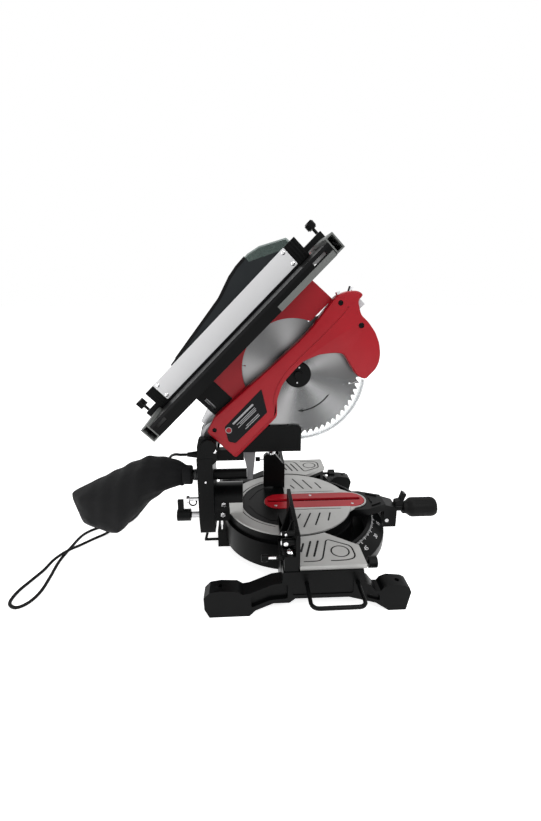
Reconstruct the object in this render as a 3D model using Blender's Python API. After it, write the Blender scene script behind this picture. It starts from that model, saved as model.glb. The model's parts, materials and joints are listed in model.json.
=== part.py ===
"""Miter saw with an upper saw table. Metres, +Z up, +X to the operator's right, -Y to the operator.

Sizes are written with the turntable's axis at x = y = 0 and the lower table's surface at z = 0. The head is
drawn in its lowered pose and its hinge empty lifts it. At the end the root empty brings the feet to z = 0
and the middle of the footprint to the origin.
"""

import math

import bmesh
import bpy
import numpy as np
from mathutils import Matrix, Vector

# Driving sizes
BLADE_DIAMETER = 0.255
BLADE_THICKNESS = 0.0028
BLADE_TEETH = 60
BLADE_BORE = 0.016
BLADE_Y = -0.056
BLADE_Z = 0.114
PIVOT_Y = 0.165
PIVOT_Z = 0.147
HEAD_LIFT_DEG = 45
TABLE_HEIGHT = 0.093
SEAT_GAP = 0.0003
OVERRUN = 0.004
SINK = 0.002

# Base casting
TURNTABLE_RADIUS = 0.133
DRUM_RADIUS = 0.139
DRUM_WALL = 0.0054
DRUM_RIM = -0.005
DRUM_FLOOR = -0.073
LEDGE_THICKNESS = 0.008
CENTRE_HOLE = 0.0065
BASE_HALF_WIDTH = 0.230
FOOT_WIDTH = 0.030
BEAM_FRONT = -0.107
BEAM_REAR = 0.034
BEAM_BOTTOM = -0.070
BEAM_WALL = 0.008
RIM_SWEEP_DEG = 65
FOOT_LENGTH = 0.340
REAR_FOOT_WIDTH = 0.050
REAR_FOOT_FRONT = 0.128
REAR_FOOT_REAR = 0.155
REAR_FOOT_TOP = -0.055

# Wing plates
WING_THICKNESS = 0.008
WING_SIDE_INSET = 0.003
WING_REAR = 0.0035
WING_FRONT = -0.110
WING_CORNER_INSET = 0.058
WING_HOOK_DEG = 23

# Fence
FENCE_FACE = 0.004
FENCE_THICKNESS = 0.007
FENCE_HEIGHT = 0.060
FENCE_INNER = 0.062
FENCE_SIDE_INSET = 0.001
FENCE_FOOT_DEPTH = 0.026
FENCE_FOOT_HEIGHT = 0.006
FENCE_RIB = 0.006
FENCE_BLOCK = 0.024
FENCE_BLOCK_HEIGHT = 0.020
BUTTRESS_WIDTH = 0.014
BUTTRESS_REAR = 0.0525
BUTTRESS_TOP = 0.084
BUTTRESS_FRONT = 0.026
BOLT_HEAD_RADIUS = 0.007
BOLT_HEAD_HEIGHT = 0.006

# Support rods and their lock screws
ROD_RADIUS = 0.0035
ROD_Z = -0.033
ROD_OVERHANG = 0.060
ROD_REAR_Y = -0.008
ROD_FRONT_Y = -0.095
ROD_END_GAP = 0.003
ROD_BEND = 0.012
ROD_CLEARANCE = 0.0006
ROD_LOCK_GAP = 0.0015
ROD_LOCK_Z = -0.0245
ROD_LOCK_RADIUS = 0.0105
ROD_LOCK_LENGTH = 0.016
ROD_LOCK_STEM = 0.0035

# Turntable, its arm and the grip
TURNTABLE_THICKNESS = 0.020
ARM_HALF_WIDTH = 0.022
ARM_TOP = -0.003
ARM_UNDER = -0.0190
ARM_BLOCK_FRONT = -0.235
ARM_BLOCK_REAR = -0.2065
ARM_BLOCK_BOTTOM = -0.059
ARM_BLOCK_TOP = -0.014
NECK_RADIUS = 0.008
NECK_FRONT = -0.2535
GRIP_Z = -0.024
GRIP_LENGTH = 0.076
GRIP_RADIUS = 0.0215
GRIP_WAIST = 0.014
INSERT_HALF_WIDTH = 0.031
INSERT_THICKNESS = 0.005
INSERT_FRONT = -0.166
INSERT_REAR = 0.054
KERF_FRONT = -0.157
KERF_REAR = 0.047
KERF_LEFT = 0.003
KERF_RIGHT = 0.008
KERF_SLOPE_RIGHT = 0.024
HUB_RADIUS = 0.045
HUB_FRONT = 0.100
HUB_REAR = 0.158
LATCH_WIDTH = 0.016
LATCH_MIDDLE = -0.2455

# Mitre scale
SCALE_INNER = 0.175
SCALE_OUTER = 0.204
SCALE_INNER_Z = -0.020
SCALE_OUTER_Z = -0.042
SCALE_BOTTOM = -0.060
SCALE_SWEEP_DEG = 52
SCALE_WALL = 0.010

# Tilt bracket
BRACKET_FRONT = 0.1583
BRACKET_REAR = 0.190
BRACKET_HALF_WIDTH = 0.046
BRACKET_BOTTOM = -0.050
BRACKET_SADDLE = 0.121
EAR_LEFT_OUTER = -0.045
EAR_LEFT_INNER = -0.0310
EAR_RIGHT_INNER = 0.0315
EAR_RIGHT_OUTER = 0.047
EAR_RADIUS = 0.0165
PIVOT_RADIUS = 0.006
PIVOT_CLEARANCE = 0.0004
PIVOT_CAP_RADIUS = 0.015
PIVOT_CAP = 0.006
SPRING_WIRE_RADIUS = 0.0009
SPRING_CURLS = 5
BEVEL_KNOB_X = -0.030
BEVEL_KNOB_Z = -0.010
BEVEL_STEM_RADIUS = 0.006
BEVEL_STEM = 0.0185
BEVEL_BARREL_RADIUS = 0.0125
BEVEL_BARREL = 0.028
BEVEL_WING = 0.035
BEVEL_WING_THICKNESS = 0.007
DETENT_Z = 0.026
DETENT_RADIUS = 0.004
DETENT_OUT = 0.022
DETENT_IN = 0.008
DETENT_TRAVEL = 0.006
LOCK_PIN_Y = 0.181
LOCK_PIN_Z = 0.130
LOCK_PIN_RADIUS = 0.0035
LOCK_PIN_OUT = 0.018
LOCK_PIN_HEAD = 0.007

# Blade channel, chute and dust parts
CHANNEL_HALF_WIDTH = 0.009
CHANNEL_WALL = 0.002
CHANNEL_FRONT = -0.023
CHANNEL_REAR = 0.110
CHANNEL_BOTTOM = 0.119
CHANNEL_TOP = 0.174
CHANNEL_BRIDGE = 0.014
CHANNEL_WEB = 0.026
CHUTE_THICKNESS = 0.012
DUST_TUBE_RADIUS = 0.0115
DUST_TUBE_WALL = 0.0018
DUST_TUBE_Z = 0.067
DUST_TUBE_FRONT = 0.0905
DUST_TUBE_REAR = 0.2075
BAG_HALF_THICKNESS = 0.046

# Head frame and cover
COVER_OUTER = 0.038
COVER_INNER = 0.016
COVER_WALL = 0.0028
FRAME_RIGHT = 0.030
FRAME_WALL_LEFT = 0.015
FRAME_WALL_RIGHT = 0.0195
FRAME_BOSS_RADIUS = 0.018
FRAME_BOSS_LEFT = 0.0137
FRAME_REAR_FRONT = 0.118
FRONT_BRIDGE_REAR = -0.209
FRONT_BRIDGE_FRONT = -0.240
FRONT_BRIDGE_TOP = 0.158
FRONT_BRIDGE_BOTTOM = 0.124
GEAR_CASE_RIGHT = 0.046
GEAR_CASE_WALL = 0.004

# Arbor, gears and motor
FLANGE_RADIUS = 0.027
FLANGE_THICKNESS = 0.0033
ARBOR_RADIUS = 0.0077
ARBOR_BOLT_RADIUS = 0.009
ARBOR_BOLT_HEIGHT = 0.0045
FAR_FLANGE_RADIUS = 0.019
ARBOR_END = 0.0445
GEAR_TEETH = 44
PINION_TEETH = 15
GEAR_MODULE = 0.0015
GEAR_LEFT = 0.031
GEAR_RIGHT = 0.040
MOTOR_TILT_DEG = 46
MOTOR_RADIUS = 0.045
MOTOR_WALL = 0.0035
MOTOR_END = 0.182
MOTOR_CAP = 0.009
STATOR_WALL = 0.010
STATOR_LEFT = 0.084
STATOR_RIGHT = 0.142
ROTOR_GAP = 0.0012
SHAFT_RADIUS = 0.004
FAN_LEFT = 0.060
FAN_RIGHT = 0.070
BRUSH_X = 0.163
BRUSH_RADIUS = 0.008
BRUSH_HEIGHT = 0.006

# Handle
HANDLE_LEFT = 0.0303
HANDLE_RIGHT = 0.062
HANDLE_BAR = 0.024
TRIGGER_TRAVEL = 0.005
TRIGGER_WIDTH = 0.012
BUTTON_RADIUS = 0.006
BUTTON_TRAVEL = 0.003

# Lower guard
GUARD_RADIUS = 0.136
GUARD_RIM = 0.002
GUARD_HALF_WIDTH = 0.0055
GUARD_SHEET = 0.0014
GUARD_HUB_RADIUS = 0.040
GUARD_BORE = 0.0285
GUARD_FRONT_DEG = -40
GUARD_REAR_DEG = 55
COLLAR_BORE = 0.0200

# Upper table
UPPER_HALF_WIDTH = 0.150
UPPER_FRONT = -0.251
UPPER_REAR = 0.186
UPPER_BOTTOM = 0.2385
UPPER_TOP = 0.262
UPPER_PLATE = 0.006
UPPER_WALL = 0.006
RAIL_DEPTH = 0.015
RAIL_TOP = 0.268
RAIL_WALL = 0.0025
UPPER_SLOT_HALF = 0.0035
UPPER_SLOT_FRONT = -0.198
UPPER_SLOT_REAR = 0.134
SKIRT_OUTER = 0.0137
SKIRT_INNER = 0.0113
SKIRT_FRONT = -0.203
SKIRT_REAR = 0.068
SKIRT_BOTTOM = 0.174
SKIRT_RIGHT_BOTTOM = 0.186
SKIRT_ARCH_RISE = 0.019
SKIRT_ARCH_SHARE = 0.77
KNIFE_THICKNESS = 0.002
KNIFE_GAP = 0.004
KNIFE_BOTTOM = 0.1785
KNIFE_TOP = 0.300
KNIFE_FOOT_REAR = 0.150
KNIFE_REAR = 0.112
KNIFE_WRAP_DEG = 20
KNIFE_PIN_RADIUS = 0.003
UPPER_GUARD_HALF = 0.014
UPPER_GUARD_WALL = 0.0025
UPPER_GUARD_BOTTOM = 0.268

# Rip fence
RIP_LEFT = 0.045
RIP_RIGHT = 0.023
RIP_TOP = 0.304
RIP_FRONT = -0.198
RIP_REAR = 0.149
RIP_WALL = 0.0025
RIP_CAP = 0.024
RIP_CAP_REAR = 0.020
CLAMP_DROP = 0.010
CLAMP_KNOB_RADIUS = 0.009
CLAMP_KNOB_HALF = 0.014
CLAMP_KNOB_HEIGHT = 0.011
CLAMP_STEM_RADIUS = 0.003
CLAMP_STEM = 0.012

# Height guide
GUIDE_THICKNESS = 0.0043
GUIDE_BOTTOM = 0.160
GUIDE_SLOT_INSET = 0.008
GUIDE_SLOT_WIDTH = 0.006
GUIDE_SLOT_BOTTOM = 0.185
GUIDE_SLOT_TOP = 0.212

# Rear stand
STAND_RADIUS = 0.003
STAND_REAR = 0.186
STAND_TIP_HEIGHT = 0.016

# Cord
CORD_DIAMETER = 0.006
COIL_MEAN_RADIUS = 0.033
COIL_TURNS = 5
COIL_CLIMB_SHARES = (-0.6, 0.45)
COIL_X = 0.150
COIL_Y = 0.402
GLAND_LENGTH = 0.024
COIL_TAIL = 0.036
PLUG_RELIEF = 0.022
PLUG_LENGTH = 0.034
PLUG_PIN = 0.018

# Outlines as shares. Those of the head are shares of the blade's radius from the blade's centre (y, z).
COVER_SHARES = (
    (1.60, 0.42), (1.36, 0.50), (0.75, 0.47), (0.22, 0.43), (-0.38, 0.41), (-0.66, 0.42), (-0.89, 0.45),
    (-1.11, 0.48), (-1.22, 0.49), (-1.31, 0.45), (-1.40, 0.39), (-1.47, 0.31), (-1.49, 0.22), (-1.38, 0.22),
    (-1.28, 0.04), (-1.29, -0.12), (-1.26, -0.30), (-1.20, -0.46), (-1.11, -0.60), (-1.00, -0.68),
    (-0.90, -0.72), (-0.70, -0.73), (-0.66, -0.68), (-0.63, -0.60), (-0.71, -0.20), (-0.62, -0.09),
    (-0.46, 0.05), (-0.21, 0.15), (-0.05, 0.15), (0.17, 0.13), (0.28, 0.11), (0.48, 0.01), (0.67, -0.18),
    (1.60, -0.20), (1.60, 0.13),
)
FRAME_WALL_SHARES = (
    (1.60, 0.36), (0.75, 0.43), (-0.38, 0.37), (-0.89, 0.41), (-1.22, 0.45), (-1.43, 0.28), (-1.30, 0.15),
    (-1.24, -0.30), (-1.09, -0.56), (-0.90, -0.68), (-0.72, -0.66), (-0.76, -0.20), (-0.46, -0.05),
    (0.17, -0.30), (0.67, -0.20), (1.40, 0.05),
)
FRAME_REAR_SHARES = (
    (0.0, -0.21), (0.0, 0.35), (0.03, 0.45), (0.34, 0.51), (0.55, 0.48), (0.86, 0.31), (1.0, 0.26), (1.0, 0.0),
    (0.6, -0.2),
)
UPPER_GUARD_SHARES = (
    (1.28, 1.21), (1.24, 1.51), (0.03, 1.665), (-0.02, 1.68), (-0.30, 1.765), (-0.45, 1.79), (-0.71, 1.795),
    (-0.90, 1.75), (-1.25, 1.56), (-1.30, 1.21),
)
# Foot beam side view: shares of the foot's length from its middle, and of the table's height.
FOOT_SHARES = (
    (0.50, -1.00), (0.30, -1.00), (0.27, -0.87), (0.18, -0.715), (0.10, -0.715), (0.07, -0.62), (-0.20, -0.63),
    (-0.34, -0.80), (-0.41, -1.00), (-0.50, -1.00), (-0.52, -0.584), (-0.509, -0.47), (-0.485, -0.416),
    (-0.409, -0.382), (-0.376, -0.44), (-0.362, -0.52), (-0.338, -0.52), (-0.306, -0.36), (-0.279, -0.315),
    (-0.268, 0.0), (0.132, 0.0), (0.138, -0.247), (0.185, -0.27), (0.297, -0.46), (0.332, -0.483), (0.362, -0.404),
    (0.441, -0.382), (0.497, -0.416), (0.526, -0.54), (0.524, -0.80),
)
FOOT_MIDDLE = -0.013
# Bag side view: shares of the bag's length behind the port and of its height about the dust tube.
BAG_LENGTH = 0.259
BAG_HEIGHT = 0.160
BAG_SHARES = (
    (0.00, 0.15), (0.085, 0.25), (0.21, 0.29), (0.33, 0.31), (0.50, 0.20), (0.67, 0.06), (0.98, -0.18),
    (1.00, -0.25), (0.93, -0.69), (0.64, -0.89), (0.50, -0.64), (0.36, -0.39), (0.19, -0.19), (0.07, -0.13),
    (0.00, -0.14),
)
LATCH_SHARES = ((-0.5, 0.0), (-0.5, 0.38), (-1.0, 1.3), (-0.45, 1.5), (-0.10, 0.6), (0.7, 0.45), (0.7, 0.0))
LATCH_REACH = 0.014
LATCH_HEIGHT = 0.020
HANDLE_SIZE = 0.098
HANDLE_Y = -0.1675
HANDLE_Z = 0.109
HANDLE_SHARES = (
    (0.50, 0.44), (0.44, 0.50), (-0.36, 0.50), (-0.50, 0.36), (-0.50, -0.36), (-0.36, -0.50), (0.44, -0.50), (0.50, -0.44),
)

# The cord's route from the gland to the coil, chosen by hand: x, y and height above the floor.
CORD_ROUTE = (
    (0.000, 0.2150, 0.206), (0.000, 0.228, 0.206), (0.014, 0.243, 0.201), (0.040, 0.258, 0.184),
    (0.056, 0.278, 0.150), (0.062, 0.300, 0.105), (0.063, 0.328, 0.056), (0.064, 0.366, 0.018),
    (0.066, 0.408, 0.0035), (0.060, 0.440, 0.003), (0.034, 0.463, 0.003), (-0.010, 0.471, 0.003),
    (-0.060, 0.476, 0.003), (-0.110, 0.473, 0.003), (-0.150, 0.472, 0.003), (-0.178, 0.480, 0.003),
    (-0.190, 0.496, 0.003), (-0.178, 0.513, 0.003), (-0.150, 0.514, 0.003), (-0.120, 0.505, 0.003),
    (-0.090, 0.494, 0.004), (-0.064, 0.484, 0.0095), (-0.036, 0.470, 0.0095), (-0.008, 0.454, 0.004),
    (0.016, 0.434, 0.003), (0.036, 0.412, 0.004), (0.056, 0.392, 0.0095), (0.080, 0.374, 0.005),
    (0.108, 0.3640, 0.003), (0.130, 0.3610, 0.003), (0.1492, 0.3607, 0.003),
)

axis_home = {}


def clear_scene():
    for old in list(bpy.data.objects):
        bpy.data.objects.remove(old, do_unlink=True)


def material(name, colour, roughness, metallic=0.0, alpha=1.0):
    made = bpy.data.materials.new(name)
    made.use_nodes = True
    made.diffuse_color = (*colour, alpha)
    shader = made.node_tree.nodes["Principled BSDF"]
    shader.inputs["Base Color"].default_value = (*colour, 1.0)
    shader.inputs["Roughness"].default_value = roughness
    shader.inputs["Metallic"].default_value = metallic
    shader.inputs["Alpha"].default_value = alpha
    return made


def axis_empty(name, place, parent=None, turn=(0, 0, 0)):
    """An empty on a joint's axis. Its place is kept in axis_home, in the drawing frame."""
    empty = bpy.data.objects.new(name, None)
    bpy.context.scene.collection.objects.link(empty)
    empty.parent = parent
    home = axis_home[parent.name] if parent else Vector((0, 0, 0))
    empty.location = Vector(place) - home
    empty.rotation_euler = turn
    axis_home[name] = Vector(place)
    return empty


def block(x, y, z):
    shape = bmesh.new()
    size = (x[1] - x[0], y[1] - y[0], z[1] - z[0])
    middle = ((x[0] + x[1]) / 2, (y[0] + y[1]) / 2, (z[0] + z[1]) / 2)
    bmesh.ops.create_cube(shape, size=1, matrix=Matrix.Translation(middle) @ Matrix.Diagonal((*size, 1)))
    return shape


def prism(outline, along, low, high):
    """A flat outline pushed along X, Y or Z. Its points are (y, z), (x, z) or (x, y)."""
    order = {"X": (2, 0, 1), "Y": (0, 2, 1), "Z": (0, 1, 2)}[along]
    shape = bmesh.new()
    corners = []
    for first, second in outline:
        triple = (first, second, low)
        corners.append(shape.verts.new([triple[i] for i in order]))
    face = shape.faces.new(corners)
    pushed = bmesh.ops.extrude_face_region(shape, geom=[face])
    moved = [item for item in pushed["geom"] if isinstance(item, bmesh.types.BMVert)]
    step = [0, 0, 0]
    step["XYZ".index(along)] = high - low
    bmesh.ops.translate(shape, verts=moved, vec=step)
    bmesh.ops.recalc_face_normals(shape, faces=shape.faces)
    return shape


def bar(start, end, radius, sides=16, end_radius=None):
    start, end = Vector(start), Vector(end)
    shape = bmesh.new()
    turn = (end - start).to_track_quat("Z", "Y").to_matrix().to_4x4()
    bmesh.ops.create_cone(
        shape, cap_ends=True, segments=sides, radius1=radius, depth=(end - start).length,
        radius2=radius if end_radius is None else end_radius,
        matrix=Matrix.Translation((start + end) / 2) @ turn,
    )
    return shape


def turned(profile, centre, along, sides=32):
    """A turned solid. The profile's points are (radius, place along the axis); it closes on itself."""
    shape = bmesh.new()
    rings = []
    for radius, place in profile:
        if radius == 0:
            rings.append([shape.verts.new((0, 0, place))])
            continue
        angles = [2 * math.pi * i / sides for i in range(sides)]
        rings.append([shape.verts.new((radius * math.cos(a), radius * math.sin(a), place)) for a in angles])
    for here, after in zip(rings, rings[1:] + rings[:1]):
        if len(here) == 1 and len(after) == 1:
            continue
        for i in range(sides):
            j = (i + 1) % sides
            corners = [here[i % len(here)], here[j % len(here)], after[j % len(after)], after[i % len(after)]]
            shape.faces.new(list(dict.fromkeys(corners)))
    turn = {"X": Matrix.Rotation(math.pi / 2, 4, "Y"), "Y": Matrix.Rotation(-math.pi / 2, 4, "X"), "Z": Matrix()}
    bmesh.ops.transform(shape, matrix=Matrix.Translation(centre) @ turn[along], verts=shape.verts)
    bmesh.ops.recalc_face_normals(shape, faces=shape.faces)
    return shape


def arc(centre, radius, start_deg, end_deg, steps):
    angles = [math.radians(start_deg + (end_deg - start_deg) * i / steps) for i in range(steps + 1)]
    return [(centre[0] + radius * math.cos(a), centre[1] + radius * math.sin(a)) for a in angles]


def from_shares(shares, size, centre=(0, 0)):
    wide, high = size
    return [(centre[0] + wide * u, centre[1] + high * v) for u, v in shares]


def head_outline(shares):
    radius = BLADE_DIAMETER / 2
    return from_shares(shares, (radius, radius), (BLADE_Y, BLADE_Z))


def inset(outline, wall):
    """The outline with each edge moved in by the wall."""
    points = [Vector(p) for p in outline]
    area = sum(a.cross(b) for a, b in zip(points, points[1:] + points[:1]))
    side = 1 if area > 0 else -1
    found = []
    for before, here, after in zip(points[-1:] + points[:-1], points, points[1:] + points[:1]):
        first = (here - before).normalized()
        second = (after - here).normalized()
        normals = [Vector((-d.y, d.x)) * side for d in (first, second)]
        middle = (normals[0] + normals[1]).normalized()
        found.append(here + middle * wall / max(middle.dot(normals[0]), 0.5))
    return [tuple(p) for p in found]


def mirrored(outline):
    return [(-x, y) for x, y in reversed(outline)]


def joined(shapes):
    whole = bmesh.new()
    for shape in shapes:
        piece = bpy.data.meshes.new("piece")
        shape.to_mesh(piece)
        shape.free()
        whole.from_mesh(piece)
        bpy.data.meshes.remove(piece)
    return whole


def helper(name, shapes):
    whole = joined(shapes)
    data = bpy.data.meshes.new(name)
    whole.to_mesh(data)
    whole.free()
    made = bpy.data.objects.new(name, data)
    made.hide_render = True
    made.display_type = "WIRE"
    bpy.context.scene.collection.objects.link(made)
    return made


def node(name, finish, parent, solids, holes=()):
    """One named piece: its solids are united and its holes cut, and it rides on its parent."""
    made = helper(name, solids[:1])
    made.hide_render = False
    made.display_type = "TEXTURED"
    work = []
    for operation, shapes in (("UNION", solids[1:]), ("DIFFERENCE", holes)):
        for shape in shapes:
            cutter = helper(name + "_" + operation.lower(), [shape])
            step = made.modifiers.new(operation.lower(), "BOOLEAN")
            step.operation = operation
            step.solver = "EXACT"
            step.object = cutter
            work.append(cutter)
    if work:
        graph = bpy.context.evaluated_depsgraph_get()
        whole = bpy.data.meshes.new_from_object(made.evaluated_get(graph))
        made.modifiers.clear()
        made.data = whole
        for cutter in work:
            bpy.data.objects.remove(cutter, do_unlink=True)
    made.data.name = name
    made.data.materials.clear()
    made.data.materials.append(finish)
    made.data.shade_smooth()
    made.data.set_sharp_from_angle(angle=math.radians(32))
    made.parent = parent
    made.location = -axis_home[parent.name]
    return made


def taken(made):
    """The shape of a finished object, for more work on it. The object goes."""
    shape = bmesh.new()
    shape.from_mesh(made.data)
    bpy.data.objects.remove(made, do_unlink=True)
    return shape


def wire(name, points, radius, finish, parent, resolution=2, closed=False):
    """A round wire or cord through the points."""
    curve = bpy.data.curves.new(name, "CURVE")
    curve.dimensions = "3D"
    curve.bevel_depth = radius
    curve.bevel_resolution = resolution
    curve.use_fill_caps = True
    spline = curve.splines.new("POLY")
    spline.points.add(len(points) - 1)
    for slot, place in zip(spline.points, points):
        slot.co = (*place, 1)
    spline.use_cyclic_u = closed
    curve.materials.append(finish)
    made = bpy.data.objects.new(name, curve)
    bpy.context.scene.collection.objects.link(made)
    made.parent = parent
    made.location = -axis_home[parent.name]
    return made


def smooth_route(points, count):
    """Points read evenly from a smooth curve through the route's own points."""
    knots = [Vector(p) for p in points]
    knots = [knots[0] * 2 - knots[1]] + knots + [knots[-1] * 2 - knots[-2]]
    dense = []
    for before, start, end, after in zip(knots, knots[1:], knots[2:], knots[3:]):
        for step in range(20):
            t = step / 20
            dense.append(0.5 * (
                2 * start + (end - before) * t + (2 * before - 5 * start + 4 * end - after) * t ** 2
                + (3 * start - before - 3 * end + after) * t ** 3
            ))
    dense.append(knots[-2])
    lengths = np.cumsum([0] + [(b - a).length for a, b in zip(dense, dense[1:])])
    places = np.array([tuple(p) for p in dense])
    wanted = np.linspace(0, lengths[-1], count)
    return [tuple(np.interp(w, lengths, places[:, i]) for i in range(3)) for w in wanted]


def least_gap(points, radius):
    """The least clear distance in mm from a tube to itself, measured between points that aren't neighbours."""
    knots = np.array(points)
    lengths = np.insert(np.cumsum(np.linalg.norm(np.diff(knots, axis=0), axis=1)), 0, 0)
    along = np.linspace(0, lengths[-1], 8 * len(knots))
    places = np.array([np.interp(along, lengths, knots[:, i]) for i in range(3)]).T
    apart = np.linalg.norm(places[:, None] - places[None], axis=2)
    far = np.abs(along[:, None] - along[None]) > 8 * radius
    return round(1000 * float(apart[far].min() - 2 * radius), 2)


def toothed(centre, teeth, pitch_radius, tooth_height, first_deg):
    """A gear's outline: straight-sided teeth, narrower at the tip, with one tooth centred on first_deg."""
    step = 2 * math.pi / teeth
    root_share, tip_share = 0.30, 0.12
    outline = []
    for i in range(teeth):
        middle = math.radians(first_deg) + i * step
        for turn, radius in (
            (-root_share, pitch_radius - 1.2 * tooth_height), (-tip_share, pitch_radius + tooth_height),
            (tip_share, pitch_radius + tooth_height), (root_share, pitch_radius - 1.2 * tooth_height),
        ):
            angle = middle + turn * step
            outline.append((centre[0] + radius * math.cos(angle), centre[1] + radius * math.sin(angle)))
    return outline


def build_base(root):
    """The black base casting with its drum, wing beams and feet."""
    ledge = -TURNTABLE_THICKNESS - SEAT_GAP
    bore = DRUM_RADIUS - DRUM_WALL
    drum = turned([(0, DRUM_RIM), (DRUM_RADIUS, DRUM_RIM), (DRUM_RADIUS, DRUM_FLOOR), (0, DRUM_FLOOR)],
                  (0, 0, 0), "Z", 64)
    solids = [drum]
    top = -WING_THICKNESS - SEAT_GAP
    foot_inner = BASE_HALF_WIDTH - FOOT_WIDTH
    foot_top = WING_THICKNESS + 2 * SEAT_GAP
    foot = from_shares(FOOT_SHARES, (FOOT_LENGTH, TABLE_HEIGHT - foot_top), (FOOT_MIDDLE, -foot_top))
    beam = wing_outline(foot_inner + SINK, BEAM_FRONT, BEAM_REAR, DRUM_RADIUS - SINK)
    for side, shape in ((-1, beam), (1, mirrored(beam))):
        solids.append(prism(shape, "Z", BEAM_BOTTOM, top))
        solids.append(prism(foot, "X", *sorted((side * foot_inner, side * BASE_HALF_WIDTH))))
    solids.append(block(
        (-REAR_FOOT_WIDTH / 2, REAR_FOOT_WIDTH / 2), (REAR_FOOT_FRONT, REAR_FOOT_REAR), (-TABLE_HEIGHT, REAR_FOOT_TOP)))
    low = -TABLE_HEIGHT + STAND_RADIUS
    solids.append(bar((0, REAR_FOOT_REAR - OVERRUN, low), (0, STAND_REAR, low), STAND_RADIUS, 8))
    solids.append(bar((0, STAND_REAR - SINK, low), (0, STAND_REAR - 3 * SINK, low + STAND_TIP_HEIGHT), STAND_RADIUS, 8))
    reach = DRUM_RADIUS + OVERRUN
    holes = [block((-reach, reach), (BEAM_REAR, reach), (ledge, OVERRUN))]
    sweep = arc((0, 0), reach, -90 - RIM_SWEEP_DEG, -90 + RIM_SWEEP_DEG, 16)
    holes.append(prism([(0, 0)] + sweep, "Z", ledge, OVERRUN))
    holes.append(turned([(0, ledge), (bore, ledge), (bore, OVERRUN), (0, OVERRUN)], (0, 0, 0), "Z", 64))
    pocket_top = ledge - LEDGE_THICKNESS
    deep = DRUM_FLOOR - OVERRUN
    holes.append(turned([(0, deep), (bore, deep), (bore, pocket_top), (0, pocket_top)], (0, 0, 0), "Z", 64))
    holes.append(bar((0, 0, pocket_top - OVERRUN), (0, 0, OVERRUN), CENTRE_HOLE))
    for side in (-1, 1):
        pocket_x = sorted((side * (DRUM_RADIUS + BEAM_WALL), side * (foot_inner - SINK)))
        holes.append(block(
            pocket_x, (BEAM_FRONT + BEAM_WALL, BEAM_REAR - BEAM_WALL), (-TABLE_HEIGHT, top - BEAM_WALL)))
        for y in (ROD_REAR_Y, ROD_FRONT_Y):
            inner = side * (DRUM_RADIUS + BEAM_WALL - OVERRUN)
            outer = side * (BASE_HALF_WIDTH + OVERRUN)
            holes.append(bar((inner, y, ROD_Z), (outer, y, ROD_Z), ROD_RADIUS + ROD_CLEARANCE, 12))
    return node("base_casting", PAINT_BLACK, root, solids, holes)


def wing_outline(outer, front, rear, inner):
    """The left wing seen from above, from its outer edge round to the arc that clears the turntable."""
    hook = WING_HOOK_DEG - 180
    rear_deg = -180 - math.degrees(math.asin(rear / inner))
    return [(-outer, rear), (-outer, front), (WING_CORNER_INSET - BASE_HALF_WIDTH, front)] + arc((0, 0), inner, hook, rear_deg, 6)


def build_wings(root):
    outline = wing_outline(BASE_HALF_WIDTH - WING_SIDE_INSET, WING_FRONT, WING_REAR, DRUM_RADIUS + SEAT_GAP)
    for name, shape in (("left_wing_plate", outline), ("right_wing_plate", mirrored(outline))):
        node(name, SILVER, root, [prism(shape, "Z", -WING_THICKNESS, 0)])


def build_scale(root):
    inner = DRUM_RADIUS + SEAT_GAP
    floor = SCALE_BOTTOM + SCALE_WALL
    shape = turned(
        [(inner, SCALE_BOTTOM), (SCALE_OUTER, SCALE_BOTTOM), (SCALE_OUTER, SCALE_OUTER_Z),
         (SCALE_INNER, SCALE_INNER_Z), (SCALE_INNER - SCALE_WALL / 2, SCALE_INNER_Z), (SCALE_INNER - SCALE_WALL, floor),
         (inner, floor)], (0, 0, 0), "Z", 72)
    reach = 2 * SCALE_OUTER
    ends = arc((0, 0), reach, -90 + SCALE_SWEEP_DEG, 270 - SCALE_SWEEP_DEG, 8)
    node("mitre_scale", PAINT_BLACK, root, [shape],
         [prism([(0, 0)] + ends, "Z", SCALE_BOTTOM - OVERRUN, OVERRUN)])


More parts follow.
